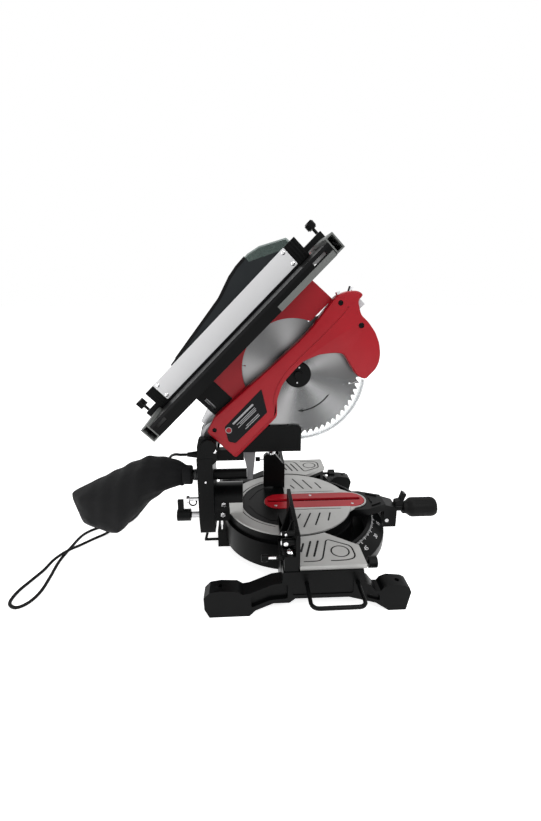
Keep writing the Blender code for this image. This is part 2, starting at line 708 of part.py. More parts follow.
def build_fences(root):
    outer_end = BASE_HALF_WIDTH - FENCE_SIDE_INSET
    bottom = -WING_THICKNESS
    rear = FENCE_FACE + FENCE_FOOT_DEPTH
    top = FENCE_HEIGHT
    for name, side in (("left_fence", -1), ("right_fence", 1)):
        def span(low, high):
            return sorted((side * low, side * high))

        solids = [block(
            span(FENCE_INNER, outer_end), (FENCE_FACE, FENCE_FACE + FENCE_THICKNESS), (2 * SEAT_GAP, top))]
        solids.append(block(
            span(DRUM_RADIUS + OVERRUN, outer_end), (FENCE_FACE + SINK, rear), (bottom, FENCE_FOOT_HEIGHT)))
        solids.append(block(
            span(FENCE_INNER, DRUM_RADIUS + 2 * OVERRUN), (FENCE_FACE + SINK, rear), (SEAT_GAP * 2, FENCE_FOOT_HEIGHT)))
        solids.append(block(
            span(outer_end - FENCE_BLOCK, outer_end), (FENCE_FACE + SINK, rear), (bottom, FENCE_BLOCK_HEIGHT)))
        rib = [(FENCE_FACE + SINK, top - SINK), (FENCE_FACE + FENCE_THICKNESS + SINK, top - SINK),
               (rear, FENCE_FOOT_HEIGHT - SINK), (FENCE_FACE + SINK, FENCE_FOOT_HEIGHT - SINK)]
        for share in (0.38, 0.66):
            x = FENCE_INNER + share * (outer_end - FENCE_INNER)
            solids.append(prism(rib, "X", *span(x, x + FENCE_RIB)))
        if side > 0:
            solids.append(prism(
                [(FENCE_FACE + SINK, top - SINK), (FENCE_FACE + SINK, FENCE_FOOT_HEIGHT - SINK),
                 (BUTTRESS_REAR, FENCE_FOOT_HEIGHT / 2), (BUTTRESS_REAR, BUTTRESS_TOP - FENCE_RIB),
                 (BUTTRESS_REAR - FENCE_RIB, BUTTRESS_TOP), (BUTTRESS_FRONT, BUTTRESS_TOP)],
                "X", *span(FENCE_INNER, FENCE_INNER + BUTTRESS_WIDTH)))
        holes = [block(span(0, DRUM_RADIUS + OVERRUN), (0, DRUM_RADIUS), (bottom - OVERRUN, 2 * SEAT_GAP))]
        node(name, PAINT_BLACK, root, solids, holes)
        x = side * (outer_end - FENCE_BLOCK / 2)
        y = (FENCE_FACE + rear) / 2 + SINK
        z = FENCE_BLOCK_HEIGHT + SEAT_GAP
        node(name + "_bolt", CHROME, root, [bolt_head((x, y, z))])


def bolt_head(place):
    radius, height = BOLT_HEAD_RADIUS, BOLT_HEAD_HEIGHT
    return turned([(0, 0), (radius, 0), (radius, 0.4 * height), (0.7 * radius, 0.85 * height), (0, height)],
                  place, "Z", 12)


def build_support_rods(root):
    reach = BASE_HALF_WIDTH + ROD_OVERHANG
    inner_end = DRUM_RADIUS + BEAM_WALL + ROD_END_GAP
    lock_x = BASE_HALF_WIDTH - FOOT_WIDTH - ROD_LOCK_RADIUS - ROD_LOCK_GAP
    for name, side in (("left", -1), ("right", 1)):
        slide = axis_empty(name + "_rod_slide", (side * reach, ROD_FRONT_Y, ROD_Z), root)
        outer = side * (reach - ROD_RADIUS)
        corner = outer - side * ROD_BEND
        points = [(side * inner_end, ROD_REAR_Y, ROD_Z)]
        for y, start, turn in ((ROD_REAR_Y - ROD_BEND, 90, -1), (ROD_FRONT_Y + ROD_BEND, 0, -1)):
            for across, along in arc((0, 0), ROD_BEND, start, start + 90 * turn, 4):
                points.append((corner + side * across, y + along, ROD_Z))
        points.append((side * inner_end, ROD_FRONT_Y, ROD_Z))
        wire(name + "_support_rod", points, ROD_RADIUS, PAINT_BLACK, slide, 2)
        x = side * lock_x
        front = BEAM_FRONT - SEAT_GAP
        screw = axis_empty(name + "_rod_lock_axis", (x, front, ROD_LOCK_Z), root)
        stem = ROD_LOCK_LENGTH
        solids = [bar((x, front - stem - SINK, ROD_LOCK_Z), (x, front, ROD_LOCK_Z), ROD_LOCK_STEM, 12),
                  bar((x, front - 2 * stem, ROD_LOCK_Z), (x, front - stem, ROD_LOCK_Z), ROD_LOCK_RADIUS, 10)]
        node(name + "_rod_lock", PLASTIC_BLACK, screw, solids)


def build_turntable(root):
    table = axis_empty("turntable_axis", (0, 0, 0), root)
    inner = (INSERT_HALF_WIDTH + SEAT_GAP, INSERT_REAR + SEAT_GAP, INSERT_FRONT - SEAT_GAP)
    solids = [turned([(0, 0), (TURNTABLE_RADIUS, 0), (TURNTABLE_RADIUS, -TURNTABLE_THICKNESS),
                      (0, -TURNTABLE_THICKNESS)], (0, 0, 0), "Z", 64)]
    wide = 1.9 * ARM_HALF_WIDTH
    start = TURNTABLE_RADIUS - 4 * SINK
    arm = [(-wide, -start), (wide, -start), (wide, INSERT_FRONT + SINK), (ARM_HALF_WIDTH, ARM_BLOCK_REAR - SINK),
           (-ARM_HALF_WIDTH, ARM_BLOCK_REAR - SINK), (-wide, INSERT_FRONT + SINK)]
    solids.append(prism(arm, "Z", ARM_UNDER, ARM_TOP))
    block_side = [(ARM_BLOCK_REAR, ARM_TOP - SINK), (ARM_BLOCK_REAR, ARM_BLOCK_BOTTOM),
                  (ARM_BLOCK_FRONT, ARM_BLOCK_BOTTOM), (ARM_BLOCK_FRONT, ARM_BLOCK_TOP)]
    solids.append(prism(block_side, "X", -ARM_HALF_WIDTH, ARM_HALF_WIDTH))
    solids.append(bar((0, ARM_BLOCK_FRONT + SINK, GRIP_Z), (0, NECK_FRONT, GRIP_Z), NECK_RADIUS, 16))
    hub = arc((0, 0), HUB_RADIUS, 0, 180, 14)
    base = SINK - TURNTABLE_THICKNESS
    hub_outline = [(HUB_RADIUS, base)] + hub + [(-HUB_RADIUS, base)]
    solids.append(prism(hub_outline, "Y", HUB_FRONT, HUB_REAR))
    pocket = arc((0, inner[1] - inner[0]), inner[0], 0, 180, 8) + arc((0, inner[2] + inner[0]), inner[0], 180, 360, 8)
    holes = [prism(pocket, "Z", -INSERT_THICKNESS - SEAT_GAP, OVERRUN)]
    holes.append(block((-KERF_LEFT, KERF_SLOPE_RIGHT), (KERF_FRONT, KERF_REAR),
                       (-TURNTABLE_THICKNESS - OVERRUN, OVERRUN)))
    node("turntable", SILVER, table, solids, holes)
    rest = (INSERT_HALF_WIDTH, INSERT_REAR, INSERT_FRONT)
    insert = arc((0, rest[1] - rest[0]), rest[0], 0, 180, 8) + arc((0, rest[2] + rest[0]), rest[0], 180, 360, 8)
    node("kerf_insert", PLASTIC_RED, table, [prism(insert, "Z", -INSERT_THICKNESS, 0)],
         [block((-KERF_LEFT, KERF_RIGHT), (KERF_FRONT, KERF_REAR), (-INSERT_THICKNESS - OVERRUN, OVERRUN))])
    under = -TURNTABLE_THICKNESS - SEAT_GAP
    deep = under - LEDGE_THICKNESS - SEAT_GAP
    node("centre_bolt", STEEL, table, [
        bar((0, 0, deep - BOLT_HEAD_HEIGHT), (0, 0, deep), 2 * CENTRE_HOLE, 6),
        bar((0, 0, deep - SINK), (0, 0, under), CENTRE_HOLE - SEAT_GAP, 12)])
    return table


def build_mitre_grip(table):
    grip = axis_empty("mitre_grip_axis", (0, NECK_FRONT, GRIP_Z), table)
    rear = NECK_FRONT - SEAT_GAP
    length, thick, waist = GRIP_LENGTH, GRIP_RADIUS, GRIP_WAIST
    profile = [(0, rear), (waist, rear), (waist, rear - 0.12 * length), (thick, rear - 0.24 * length),
               (thick, rear - 0.9 * length), (0.75 * thick, rear - length), (0, rear - length)]
    node("mitre_grip", RUBBER, grip, [turned(profile, (0, 0, GRIP_Z), "Y", 16)])
    base = GRIP_Z + NECK_RADIUS + SEAT_GAP
    outline = from_shares(LATCH_SHARES, (LATCH_REACH, LATCH_HEIGHT), (LATCH_MIDDLE, base))
    latch = axis_empty("index_latch_axis", (0, outline[-1][0], base), table)
    node("index_latch", PLASTIC_BLACK, latch, [prism(outline, "X", -LATCH_WIDTH / 2, LATCH_WIDTH / 2)])


def build_tilt_bracket(table):
    tilt = axis_empty("bevel_axis", (0, BRACKET_FRONT, 0), table)
    half = BRACKET_HALF_WIDTH
    back = [(-half, BRACKET_SADDLE), (-half, BRACKET_BOTTOM / 3), (-0.8 * half, BRACKET_BOTTOM),
            (0.8 * half, BRACKET_BOTTOM), (half, BRACKET_BOTTOM / 3), (half, BRACKET_SADDLE)]
    solids = [prism(back, "Y", BRACKET_FRONT, BRACKET_REAR)]
    ear = [(PIVOT_Y - EAR_RADIUS, BRACKET_SADDLE - 2 * SINK)] + arc((PIVOT_Y, PIVOT_Z), EAR_RADIUS, 180, 90, 6)
    ear += [(BRACKET_REAR - 3 * SINK, PIVOT_Z + EAR_RADIUS), (BRACKET_REAR - SINK, PIVOT_Z),
            (BRACKET_REAR - SINK, BRACKET_SADDLE - 2 * SINK), (BRACKET_FRONT + SINK, BRACKET_SADDLE - 8 * SINK)]
    for left, right in ((EAR_LEFT_OUTER, EAR_LEFT_INNER), (EAR_RIGHT_INNER, EAR_RIGHT_OUTER)):
        solids.append(prism(ear, "X", left, right))
    holes = [bar((EAR_LEFT_OUTER - OVERRUN, PIVOT_Y, PIVOT_Z), (EAR_RIGHT_OUTER + OVERRUN, PIVOT_Y, PIVOT_Z),
                 PIVOT_RADIUS + PIVOT_CLEARANCE, 16)]
    holes.append(bar((0, BRACKET_FRONT - OVERRUN, DUST_TUBE_Z), (0, BRACKET_REAR + OVERRUN, DUST_TUBE_Z),
                     DUST_TUBE_RADIUS + SEAT_GAP, 20))
    holes.append(bar((EAR_RIGHT_INNER - OVERRUN, LOCK_PIN_Y, LOCK_PIN_Z),
                     (EAR_RIGHT_OUTER + OVERRUN, LOCK_PIN_Y, LOCK_PIN_Z), LOCK_PIN_RADIUS + SEAT_GAP, 12))
    holes.append(bar((BEVEL_KNOB_X, BRACKET_REAR - DETENT_IN - DETENT_TRAVEL, DETENT_Z),
                     (BEVEL_KNOB_X, BRACKET_REAR + OVERRUN, DETENT_Z), DETENT_RADIUS + SEAT_GAP, 12))
    node("tilt_bracket", PAINT_BLACK, tilt, solids, holes)
    ends = (EAR_LEFT_OUTER - SEAT_GAP, EAR_RIGHT_OUTER + SEAT_GAP)
    node("pivot_bolt", STEEL, tilt, [
        bar((ends[0] - SINK, PIVOT_Y, PIVOT_Z), (ends[1] + SINK, PIVOT_Y, PIVOT_Z), PIVOT_RADIUS, 16),
        bar((ends[0] - PIVOT_CAP, PIVOT_Y, PIVOT_Z), (ends[0], PIVOT_Y, PIVOT_Z), PIVOT_CAP_RADIUS, 16),
        bar((ends[1], PIVOT_Y, PIVOT_Z), (ends[1] + PIVOT_CAP, PIVOT_Y, PIVOT_Z), PIVOT_CAP_RADIUS, 6)])
    build_return_spring(tilt)
    build_bevel_knob(tilt)
    build_pins(tilt)
    return tilt


def build_return_spring(tilt):
    """The coil round the pivot bolt between the left ear and the head's boss."""
    low, high = EAR_LEFT_INNER + 2 * SEAT_GAP, -FRAME_BOSS_LEFT - 2 * SEAT_GAP
    steps = 10
    radius = PIVOT_RADIUS + 3 * SPRING_WIRE_RADIUS
    points = []
    for i in range(SPRING_CURLS * steps + 1):
        angle = 2 * math.pi * i / steps
        x = low + SPRING_WIRE_RADIUS + (high - low - 2 * SPRING_WIRE_RADIUS) * i / (SPRING_CURLS * steps)
        points.append((x, PIVOT_Y + radius * math.cos(angle), PIVOT_Z + radius * math.sin(angle)))
    wire("return_spring", points, SPRING_WIRE_RADIUS, STEEL, tilt, 1)
    print("return spring, least gap to itself, mm:", least_gap(points, SPRING_WIRE_RADIUS))


def build_bevel_knob(tilt):
    start = BRACKET_REAR + SEAT_GAP
    axis = axis_empty("bevel_knob_axis", (BEVEL_KNOB_X, start, BEVEL_KNOB_Z), tilt)
    x, z = BEVEL_KNOB_X, BEVEL_KNOB_Z
    barrel = start + BEVEL_STEM
    end = barrel + BEVEL_BARREL
    half = BEVEL_WING_THICKNESS / 2
    solids = [bar((x, start, z), (x, barrel + SINK, z), BEVEL_STEM_RADIUS, 12),
              bar((x, barrel, z), (x, end, z), BEVEL_BARREL_RADIUS, 12),
              block((x - half, x + half), (barrel + BEVEL_BARREL / 2, end - SINK), (z, z + BEVEL_WING))]
    node("bevel_lock_knob", PLASTIC_BLACK, axis, solids)


def build_pins(tilt):
    x, z = BEVEL_KNOB_X, DETENT_Z
    inner = BRACKET_REAR - DETENT_IN
    outer = BRACKET_REAR + DETENT_OUT
    slide = axis_empty("detent_slide", (x, inner, z), tilt)
    node("bevel_detent_pin", CHROME, slide, [
        bar((x, inner, z), (x, outer, z), DETENT_RADIUS, 12),
        bar((x, outer - SINK, z), (x, outer + 2 * SINK, z), 1.8 * DETENT_RADIUS, 12)])
    left = EAR_RIGHT_INNER - SEAT_GAP
    out = EAR_RIGHT_OUTER + LOCK_PIN_OUT
    pull = axis_empty("head_lock_slide", (left, LOCK_PIN_Y, LOCK_PIN_Z), tilt)
    node("head_lock_pin", CHROME, pull, [
        bar((left, LOCK_PIN_Y, LOCK_PIN_Z), (out, LOCK_PIN_Y, LOCK_PIN_Z), LOCK_PIN_RADIUS, 12),
        bar((out - LOCK_PIN_HEAD, LOCK_PIN_Y, LOCK_PIN_Z), (out, LOCK_PIN_Y, LOCK_PIN_Z), 2 * LOCK_PIN_RADIUS, 12)])


def build_dust_parts(tilt):
    half = CHANNEL_HALF_WIDTH
    outline = [(CHANNEL_FRONT, CHANNEL_BOTTOM), (CHANNEL_FRONT, CHANNEL_TOP - 3 * SINK),
               (CHANNEL_FRONT + 3 * SINK, CHANNEL_TOP), (CHANNEL_REAR, CHANNEL_TOP), (CHANNEL_REAR, CHANNEL_BOTTOM)]
    web_low = CHANNEL_BOTTOM - CHANNEL_WEB + 4 * SINK
    web = block((-half, half), (CHANNEL_REAR - CHANNEL_BRIDGE, BRACKET_FRONT - SEAT_GAP),
                (web_low, CHANNEL_BOTTOM + 3 * SINK))
    inner = half - CHANNEL_WALL
    node("blade_channel", PLASTIC_BLACK, tilt, [prism(outline, "X", -half, half), web],
         [block((-inner, inner), (CHANNEL_FRONT - OVERRUN, CHANNEL_REAR - CHANNEL_BRIDGE),
                (web_low - OVERRUN, CHANNEL_TOP + OVERRUN))])
    rear = DUST_TUBE_FRONT - SEAT_GAP
    top = CHANNEL_BOTTOM - SEAT_GAP
    chute_rear = CHANNEL_REAR - CHANNEL_BRIDGE - SEAT_GAP
    thick = CHUTE_THICKNESS / 2
    low = DUST_TUBE_Z - DUST_TUBE_RADIUS
    chute = [(chute_rear - 2 * CHUTE_THICKNESS, top), (chute_rear, top), (chute_rear, top - CHUTE_THICKNESS),
             (rear, low + 2 * DUST_TUBE_RADIUS), (rear, low), (rear - CHUTE_THICKNESS, low)]
    node("dust_chute", GREY, tilt, [prism(chute, "X", -thick, thick)])
    tube, bore = DUST_TUBE_RADIUS, DUST_TUBE_RADIUS - DUST_TUBE_WALL
    node("dust_tube", PLASTIC_BLACK, tilt, [turned(
        [(bore, DUST_TUBE_FRONT), (tube, DUST_TUBE_FRONT), (tube, DUST_TUBE_REAR), (bore, DUST_TUBE_REAR)],
        (0, 0, DUST_TUBE_Z), "Y", 20)])
    node("dust_bag", FABRIC, tilt, [pillow(
        from_shares(BAG_SHARES, (BAG_LENGTH, BAG_HEIGHT), (DUST_TUBE_REAR + SEAT_GAP, DUST_TUBE_Z)), BAG_HALF_THICKNESS)])


def pillow(outline, half):
    """A bag's soft form: the side outline, drawn in towards both faces."""
    shape = bmesh.new()
    middle = Vector([sum(p[i] for p in outline) / len(outline) for i in range(2)])
    first_y = outline[0][0]
    rings = []
    for height_share, size_share in ((-1.0, 0.42), (-0.72, 0.80), (0, 1.0), (0.72, 0.80), (1.0, 0.42)):
        ring = []
        for point in outline:
            place = middle + (Vector(point) - middle) * size_share
            taper = 0.45 + 0.55 * min(1, (place.x - first_y) / (0.35 * BAG_LENGTH))
            ring.append(shape.verts.new((height_share * half * taper, place.x, place.y)))
        rings.append(ring)
    for here, after in zip(rings, rings[1:]):
        for i in range(len(outline)):
            j = (i + 1) % len(outline)
            shape.faces.new((here[i], here[j], after[j], after[i]))
    shape.faces.new(rings[0])
    shape.faces.new(rings[-1])
    bmesh.ops.recalc_face_normals(shape, faces=shape.faces)
    return shape


def build_cord(tilt, table):
    """The gland on the bracket's back, the cord over the floor, its coil and its plug."""
    gland_y = BRACKET_REAR + SEAT_GAP
    gland_z = CORD_ROUTE[0][2] - TABLE_HEIGHT
    radius = CORD_DIAMETER / 2
    node("cord_gland", RUBBER, tilt, [turned(
        [(0, gland_y), (2.4 * radius, gland_y), (2.4 * radius, gland_y + 0.2 * GLAND_LENGTH),
         (1.5 * radius, gland_y + GLAND_LENGTH), (0, gland_y + GLAND_LENGTH)], (0, 0, gland_z), "Y", 12)])
    route = [(x, y, z - TABLE_HEIGHT) for x, y, z in CORD_ROUTE]
    wire("power_cord", smooth_route(route, 76), radius, RUBBER, table, 2)
    loops = coil_points()
    wire("cord_coil", loops, radius, RUBBER, table, 1)
    print("cord coil, least gap to itself, mm:", least_gap(loops, radius))
    x, y, z = loops[-1]
    x += SEAT_GAP
    half = z + TABLE_HEIGHT
    collar = x + PLUG_RELIEF
    end = collar + PLUG_LENGTH
    solids = [bar((x, y, z), (collar + SINK, y, z), 1.4 * radius, 12, 2.2 * radius),
              block((collar, end), (y - half, y + half), (-TABLE_HEIGHT, z + half))]
    for side in (-1, 1):
        solids.append(bar((end - SINK, y + side * half / 2, z), (end + PLUG_PIN, y + side * half / 2, z), radius, 8))
    node("plug", RUBBER, table, solids)


def coil_points():
    """The coil's loops spiral in on the floor, climb over the innermost loop, and spiral out again on top."""
    radius = CORD_DIAMETER / 2
    steps = 24
    pitch = CORD_DIAMETER + 2 * SEAT_GAP
    layers = 2
    turns = COIL_TURNS / layers
    count = int(turns * steps)
    inner = COIL_MEAN_RADIUS - pitch * turns / 2
    climb_from_share, climb_to_share = COIL_CLIMB_SHARES
    points = []
    for i in range(layers * count + 1):
        from_middle = (i - count) / steps
        climbed = (2 * from_middle - climb_from_share) / (climb_to_share - climb_from_share)
        reach = inner + pitch * abs(from_middle)
        angle = 2 * math.pi * i / steps - math.pi / 2
        points.append((
            COIL_X + reach * math.cos(angle), COIL_Y + reach * math.sin(angle),
            radius - TABLE_HEIGHT + pitch * min(1, max(0, climbed)),
        ))
    x, y, z = points[-1]
    return points + [(x + COIL_TAIL / 2, y, z), (x + COIL_TAIL, y, z)]


def build_head_frame(tilt):
    """The head turns on the pivot bolt. It is drawn lowered, and the empty lifts it."""
    head = axis_empty("head_axis", (0, PIVOT_Y, PIVOT_Z), tilt, (-math.radians(HEAD_LIFT_DEG), 0, 0))
    arbor = (BLADE_Y, BLADE_Z)
    radius = BLADE_DIAMETER / 2
    wall = prism(head_outline(FRAME_WALL_SHARES), "X", FRAME_WALL_LEFT, FRAME_WALL_RIGHT)
    rear_size = PIVOT_Y + FRAME_BOSS_RADIUS - FRAME_REAR_FRONT
    rear = from_shares(FRAME_REAR_SHARES, (rear_size, rear_size), (FRAME_REAR_FRONT, PIVOT_Z - SINK))
    solids = [wall, prism(rear, "X", -FRAME_BOSS_LEFT, FRAME_RIGHT)]
    solids.append(bar((-FRAME_BOSS_LEFT - SEAT_GAP, PIVOT_Y, PIVOT_Z), (FRAME_RIGHT + SEAT_GAP, PIVOT_Y, PIVOT_Z),
                      FRAME_BOSS_RADIUS, 24))
    solids.append(block((-COVER_INNER + SEAT_GAP, FRAME_WALL_RIGHT - SINK), (FRONT_BRIDGE_FRONT, FRONT_BRIDGE_REAR),
                        (FRONT_BRIDGE_BOTTOM, FRONT_BRIDGE_TOP)))
    solids.append(prism(gear_case_outline(0), "X", FRAME_WALL_LEFT + SINK, GEAR_CASE_RIGHT))
    collar_left = GUARD_HALF_WIDTH - GUARD_SHEET - SEAT_GAP
    solids.append(bar((collar_left, *arbor), (FRAME_WALL_LEFT + SINK, *arbor), GUARD_BORE - SEAT_GAP, 32))
    holes = [bar((-FRAME_BOSS_LEFT - OVERRUN, PIVOT_Y, PIVOT_Z), (FRAME_RIGHT + OVERRUN, PIVOT_Y, PIVOT_Z),
                 PIVOT_RADIUS + PIVOT_CLEARANCE, 16)]
    holes.append(prism(gear_case_outline(GEAR_CASE_WALL), "X", FRAME_WALL_RIGHT + SINK, GEAR_CASE_RIGHT + OVERRUN))
    holes.append(bar((collar_left - OVERRUN, *arbor), (FRAME_WALL_LEFT - 2 * SINK, *arbor), COLLAR_BORE, 32))
    holes.append(bar((0, *arbor), (GEAR_CASE_RIGHT, *arbor), ARBOR_RADIUS + SEAT_GAP, 20))
    node("head_frame", ALUMINIUM, head, solids, holes)
    cover = head_outline(COVER_SHARES)
    boss = [bar((-COVER_OUTER + SINK, y, z), (-COVER_INNER, y, z), 2 * COVER_WALL, 12)
            for y, z in ((BLADE_Y + 1.48 * radius, BLADE_Z + 0.36 * radius),
                         (BLADE_Y - 1.34 * radius, BLADE_Z + 0.30 * radius))]
    shell = prism(cover, "X", -COVER_OUTER, -COVER_INNER)
    pocket = prism(inset(cover, COVER_WALL), "X", -COVER_OUTER + COVER_WALL, -COVER_INNER + OVERRUN)
    blank = node("cover_blank", PLASTIC_RED, head, [shell], [pocket])
    node("blade_cover", PLASTIC_RED, head, [taken(blank)] + boss)
    return head


def motor_centre():
    centres = GEAR_MODULE * (GEAR_TEETH + PINION_TEETH) / 2
    turn = math.radians(MOTOR_TILT_DEG)
    return (BLADE_Y + centres * math.cos(turn), BLADE_Z + centres * math.sin(turn))


def gear_case_outline(wall):
    """The case's outline round gear and pinion: two arcs and their tangents."""
    big = GEAR_MODULE * GEAR_TEETH / 2 + 2 * GEAR_CASE_WALL - wall
    small = GEAR_MODULE * PINION_TEETH / 2 + 2.4 * GEAR_CASE_WALL - wall
    lean = math.degrees(math.acos((big - small) / (GEAR_MODULE * (GEAR_TEETH + PINION_TEETH) / 2)))
    return (arc((BLADE_Y, BLADE_Z), big, MOTOR_TILT_DEG + lean, MOTOR_TILT_DEG + 360 - lean, 20)
            + arc(motor_centre(), small, MOTOR_TILT_DEG - lean, MOTOR_TILT_DEG + lean, 8))


def build_drive(head):
    """The blade with its flanges, the gear pair and the motor's turning parts."""
    arbor = (BLADE_Y, BLADE_Z)
    spin = axis_empty("blade_axis", (0, *arbor), head)
    half = BLADE_THICKNESS / 2
    radius = BLADE_DIAMETER / 2
    teeth = []
    for i in range(BLADE_TEETH):
        angle = 360 * i / BLADE_TEETH
        for turn_share, radius_share in ((0.0, 1.0), (0.28, 0.985), (0.55, 0.955)):
            teeth.extend(arc(arbor, radius * radius_share, angle + 360 * turn_share / BLADE_TEETH, angle, 1)[:1])
    node("saw_blade", STEEL, spin, [prism(teeth, "X", -half, half)],
         [bar((-half - OVERRUN, *arbor), (half + OVERRUN, *arbor), BLADE_BORE / 2, 20)])
    near = -half - SEAT_GAP
    node("near_flange", PAINT_BLACK, spin, [turned(
        [(ARBOR_RADIUS + SEAT_GAP, near), (FLANGE_RADIUS, near), (0.9 * FLANGE_RADIUS, near - FLANGE_THICKNESS),
         (ARBOR_RADIUS + SEAT_GAP, near - FLANGE_THICKNESS)], (0, *arbor), "X", 24)])
    bolt = near - FLANGE_THICKNESS - SEAT_GAP
    node("arbor_bolt", STEEL, spin, [bar((bolt - ARBOR_BOLT_HEIGHT, *arbor), (bolt, *arbor), ARBOR_BOLT_RADIUS, 6)])
    far = half + SEAT_GAP
    node("arbor", STEEL, spin, [turned(
        [(0, bolt + SEAT_GAP), (ARBOR_RADIUS, bolt + SEAT_GAP), (ARBOR_RADIUS, far), (FAR_FLANGE_RADIUS, far),
         (FAR_FLANGE_RADIUS, far + FLANGE_THICKNESS), (ARBOR_RADIUS, far + FLANGE_THICKNESS),
         (ARBOR_RADIUS, ARBOR_END), (0, ARBOR_END)], (0, *arbor), "X", 20)])
    gear_radius = GEAR_MODULE * GEAR_TEETH / 2
    tooth = 0.8 * GEAR_MODULE
    node("drive_gear", STEEL, spin, [prism(
        toothed(arbor, GEAR_TEETH, gear_radius, tooth, MOTOR_TILT_DEG), "X", GEAR_LEFT, GEAR_RIGHT)],
        [bar((GEAR_LEFT - OVERRUN, *arbor), (GEAR_RIGHT + OVERRUN, *arbor), ARBOR_RADIUS + SEAT_GAP, 20)])
    motor = motor_centre()
    rotor = axis_empty("motor_axis", (0, *motor), head)
    pinion_radius = GEAR_MODULE * PINION_TEETH / 2
    gap_deg = MOTOR_TILT_DEG + 180 + 180 / PINION_TEETH
    bore = MOTOR_RADIUS - MOTOR_WALL - STATOR_WALL
    core = bore - ROTOR_GAP
    profile = [(0, GEAR_LEFT), (SHAFT_RADIUS, GEAR_LEFT), (SHAFT_RADIUS, FAN_LEFT), (bore, FAN_LEFT), (bore, FAN_RIGHT),
               (SHAFT_RADIUS, FAN_RIGHT), (SHAFT_RADIUS, STATOR_LEFT), (core, STATOR_LEFT), (core, STATOR_RIGHT),
               (SHAFT_RADIUS, STATOR_RIGHT), (SHAFT_RADIUS, BRUSH_X - BRUSH_RADIUS),
               (core / 2, BRUSH_X - BRUSH_RADIUS), (core / 2, BRUSH_X + BRUSH_RADIUS),
               (SHAFT_RADIUS, BRUSH_X + BRUSH_RADIUS), (SHAFT_RADIUS, MOTOR_END - SEAT_GAP), (0, MOTOR_END - SEAT_GAP)]
    node("armature", COPPER, rotor, [
        turned(profile, (0, *motor), "X", 24),
        prism(toothed(motor, PINION_TEETH, pinion_radius, tooth, gap_deg), "X", GEAR_LEFT + SEAT_GAP, GEAR_RIGHT)])


def build_motor_case(head):
    motor = motor_centre()
    flange_left = GEAR_CASE_RIGHT + SEAT_GAP
    flange_right = flange_left + GEAR_CASE_WALL
    node("motor_housing", PLASTIC_RED, head, [
        prism(gear_case_outline(0), "X", flange_left, flange_right),
        bar((flange_right - SINK, *motor), (MOTOR_END, *motor), MOTOR_RADIUS, 32)],
        [bar((flange_right + SINK, *motor), (MOTOR_END + OVERRUN, *motor), MOTOR_RADIUS - MOTOR_WALL, 32),
         bar((flange_left - OVERRUN, *motor), (flange_right + OVERRUN, *motor), SHAFT_RADIUS + 2 * SEAT_GAP, 12)])
    node("motor_end_cap", PLASTIC_BLACK, head, [turned(
        [(0, MOTOR_END + SEAT_GAP), (MOTOR_RADIUS, MOTOR_END + SEAT_GAP), (0.86 * MOTOR_RADIUS, MOTOR_END + MOTOR_CAP),
         (0, MOTOR_END + MOTOR_CAP)], (0, *motor), "X", 32)])
    outer = MOTOR_RADIUS - MOTOR_WALL - SEAT_GAP
    inner = MOTOR_RADIUS - MOTOR_WALL - STATOR_WALL
    node("stator", COPPER, head, [turned(
        [(inner, STATOR_LEFT), (outer, STATOR_LEFT), (outer, STATOR_RIGHT), (inner, STATOR_RIGHT)],
        (0, *motor), "X", 28)])
    reach = MOTOR_RADIUS + SEAT_GAP
    for name, side in (("front_brush_cap", -1), ("rear_brush_cap", 1)):
        y = motor[0] + side * reach
        node(name, PLASTIC_BLACK, head, [bar(
            (BRUSH_X, y, motor[1]), (BRUSH_X, y + side * BRUSH_HEIGHT, motor[1]), BRUSH_RADIUS, 12)])


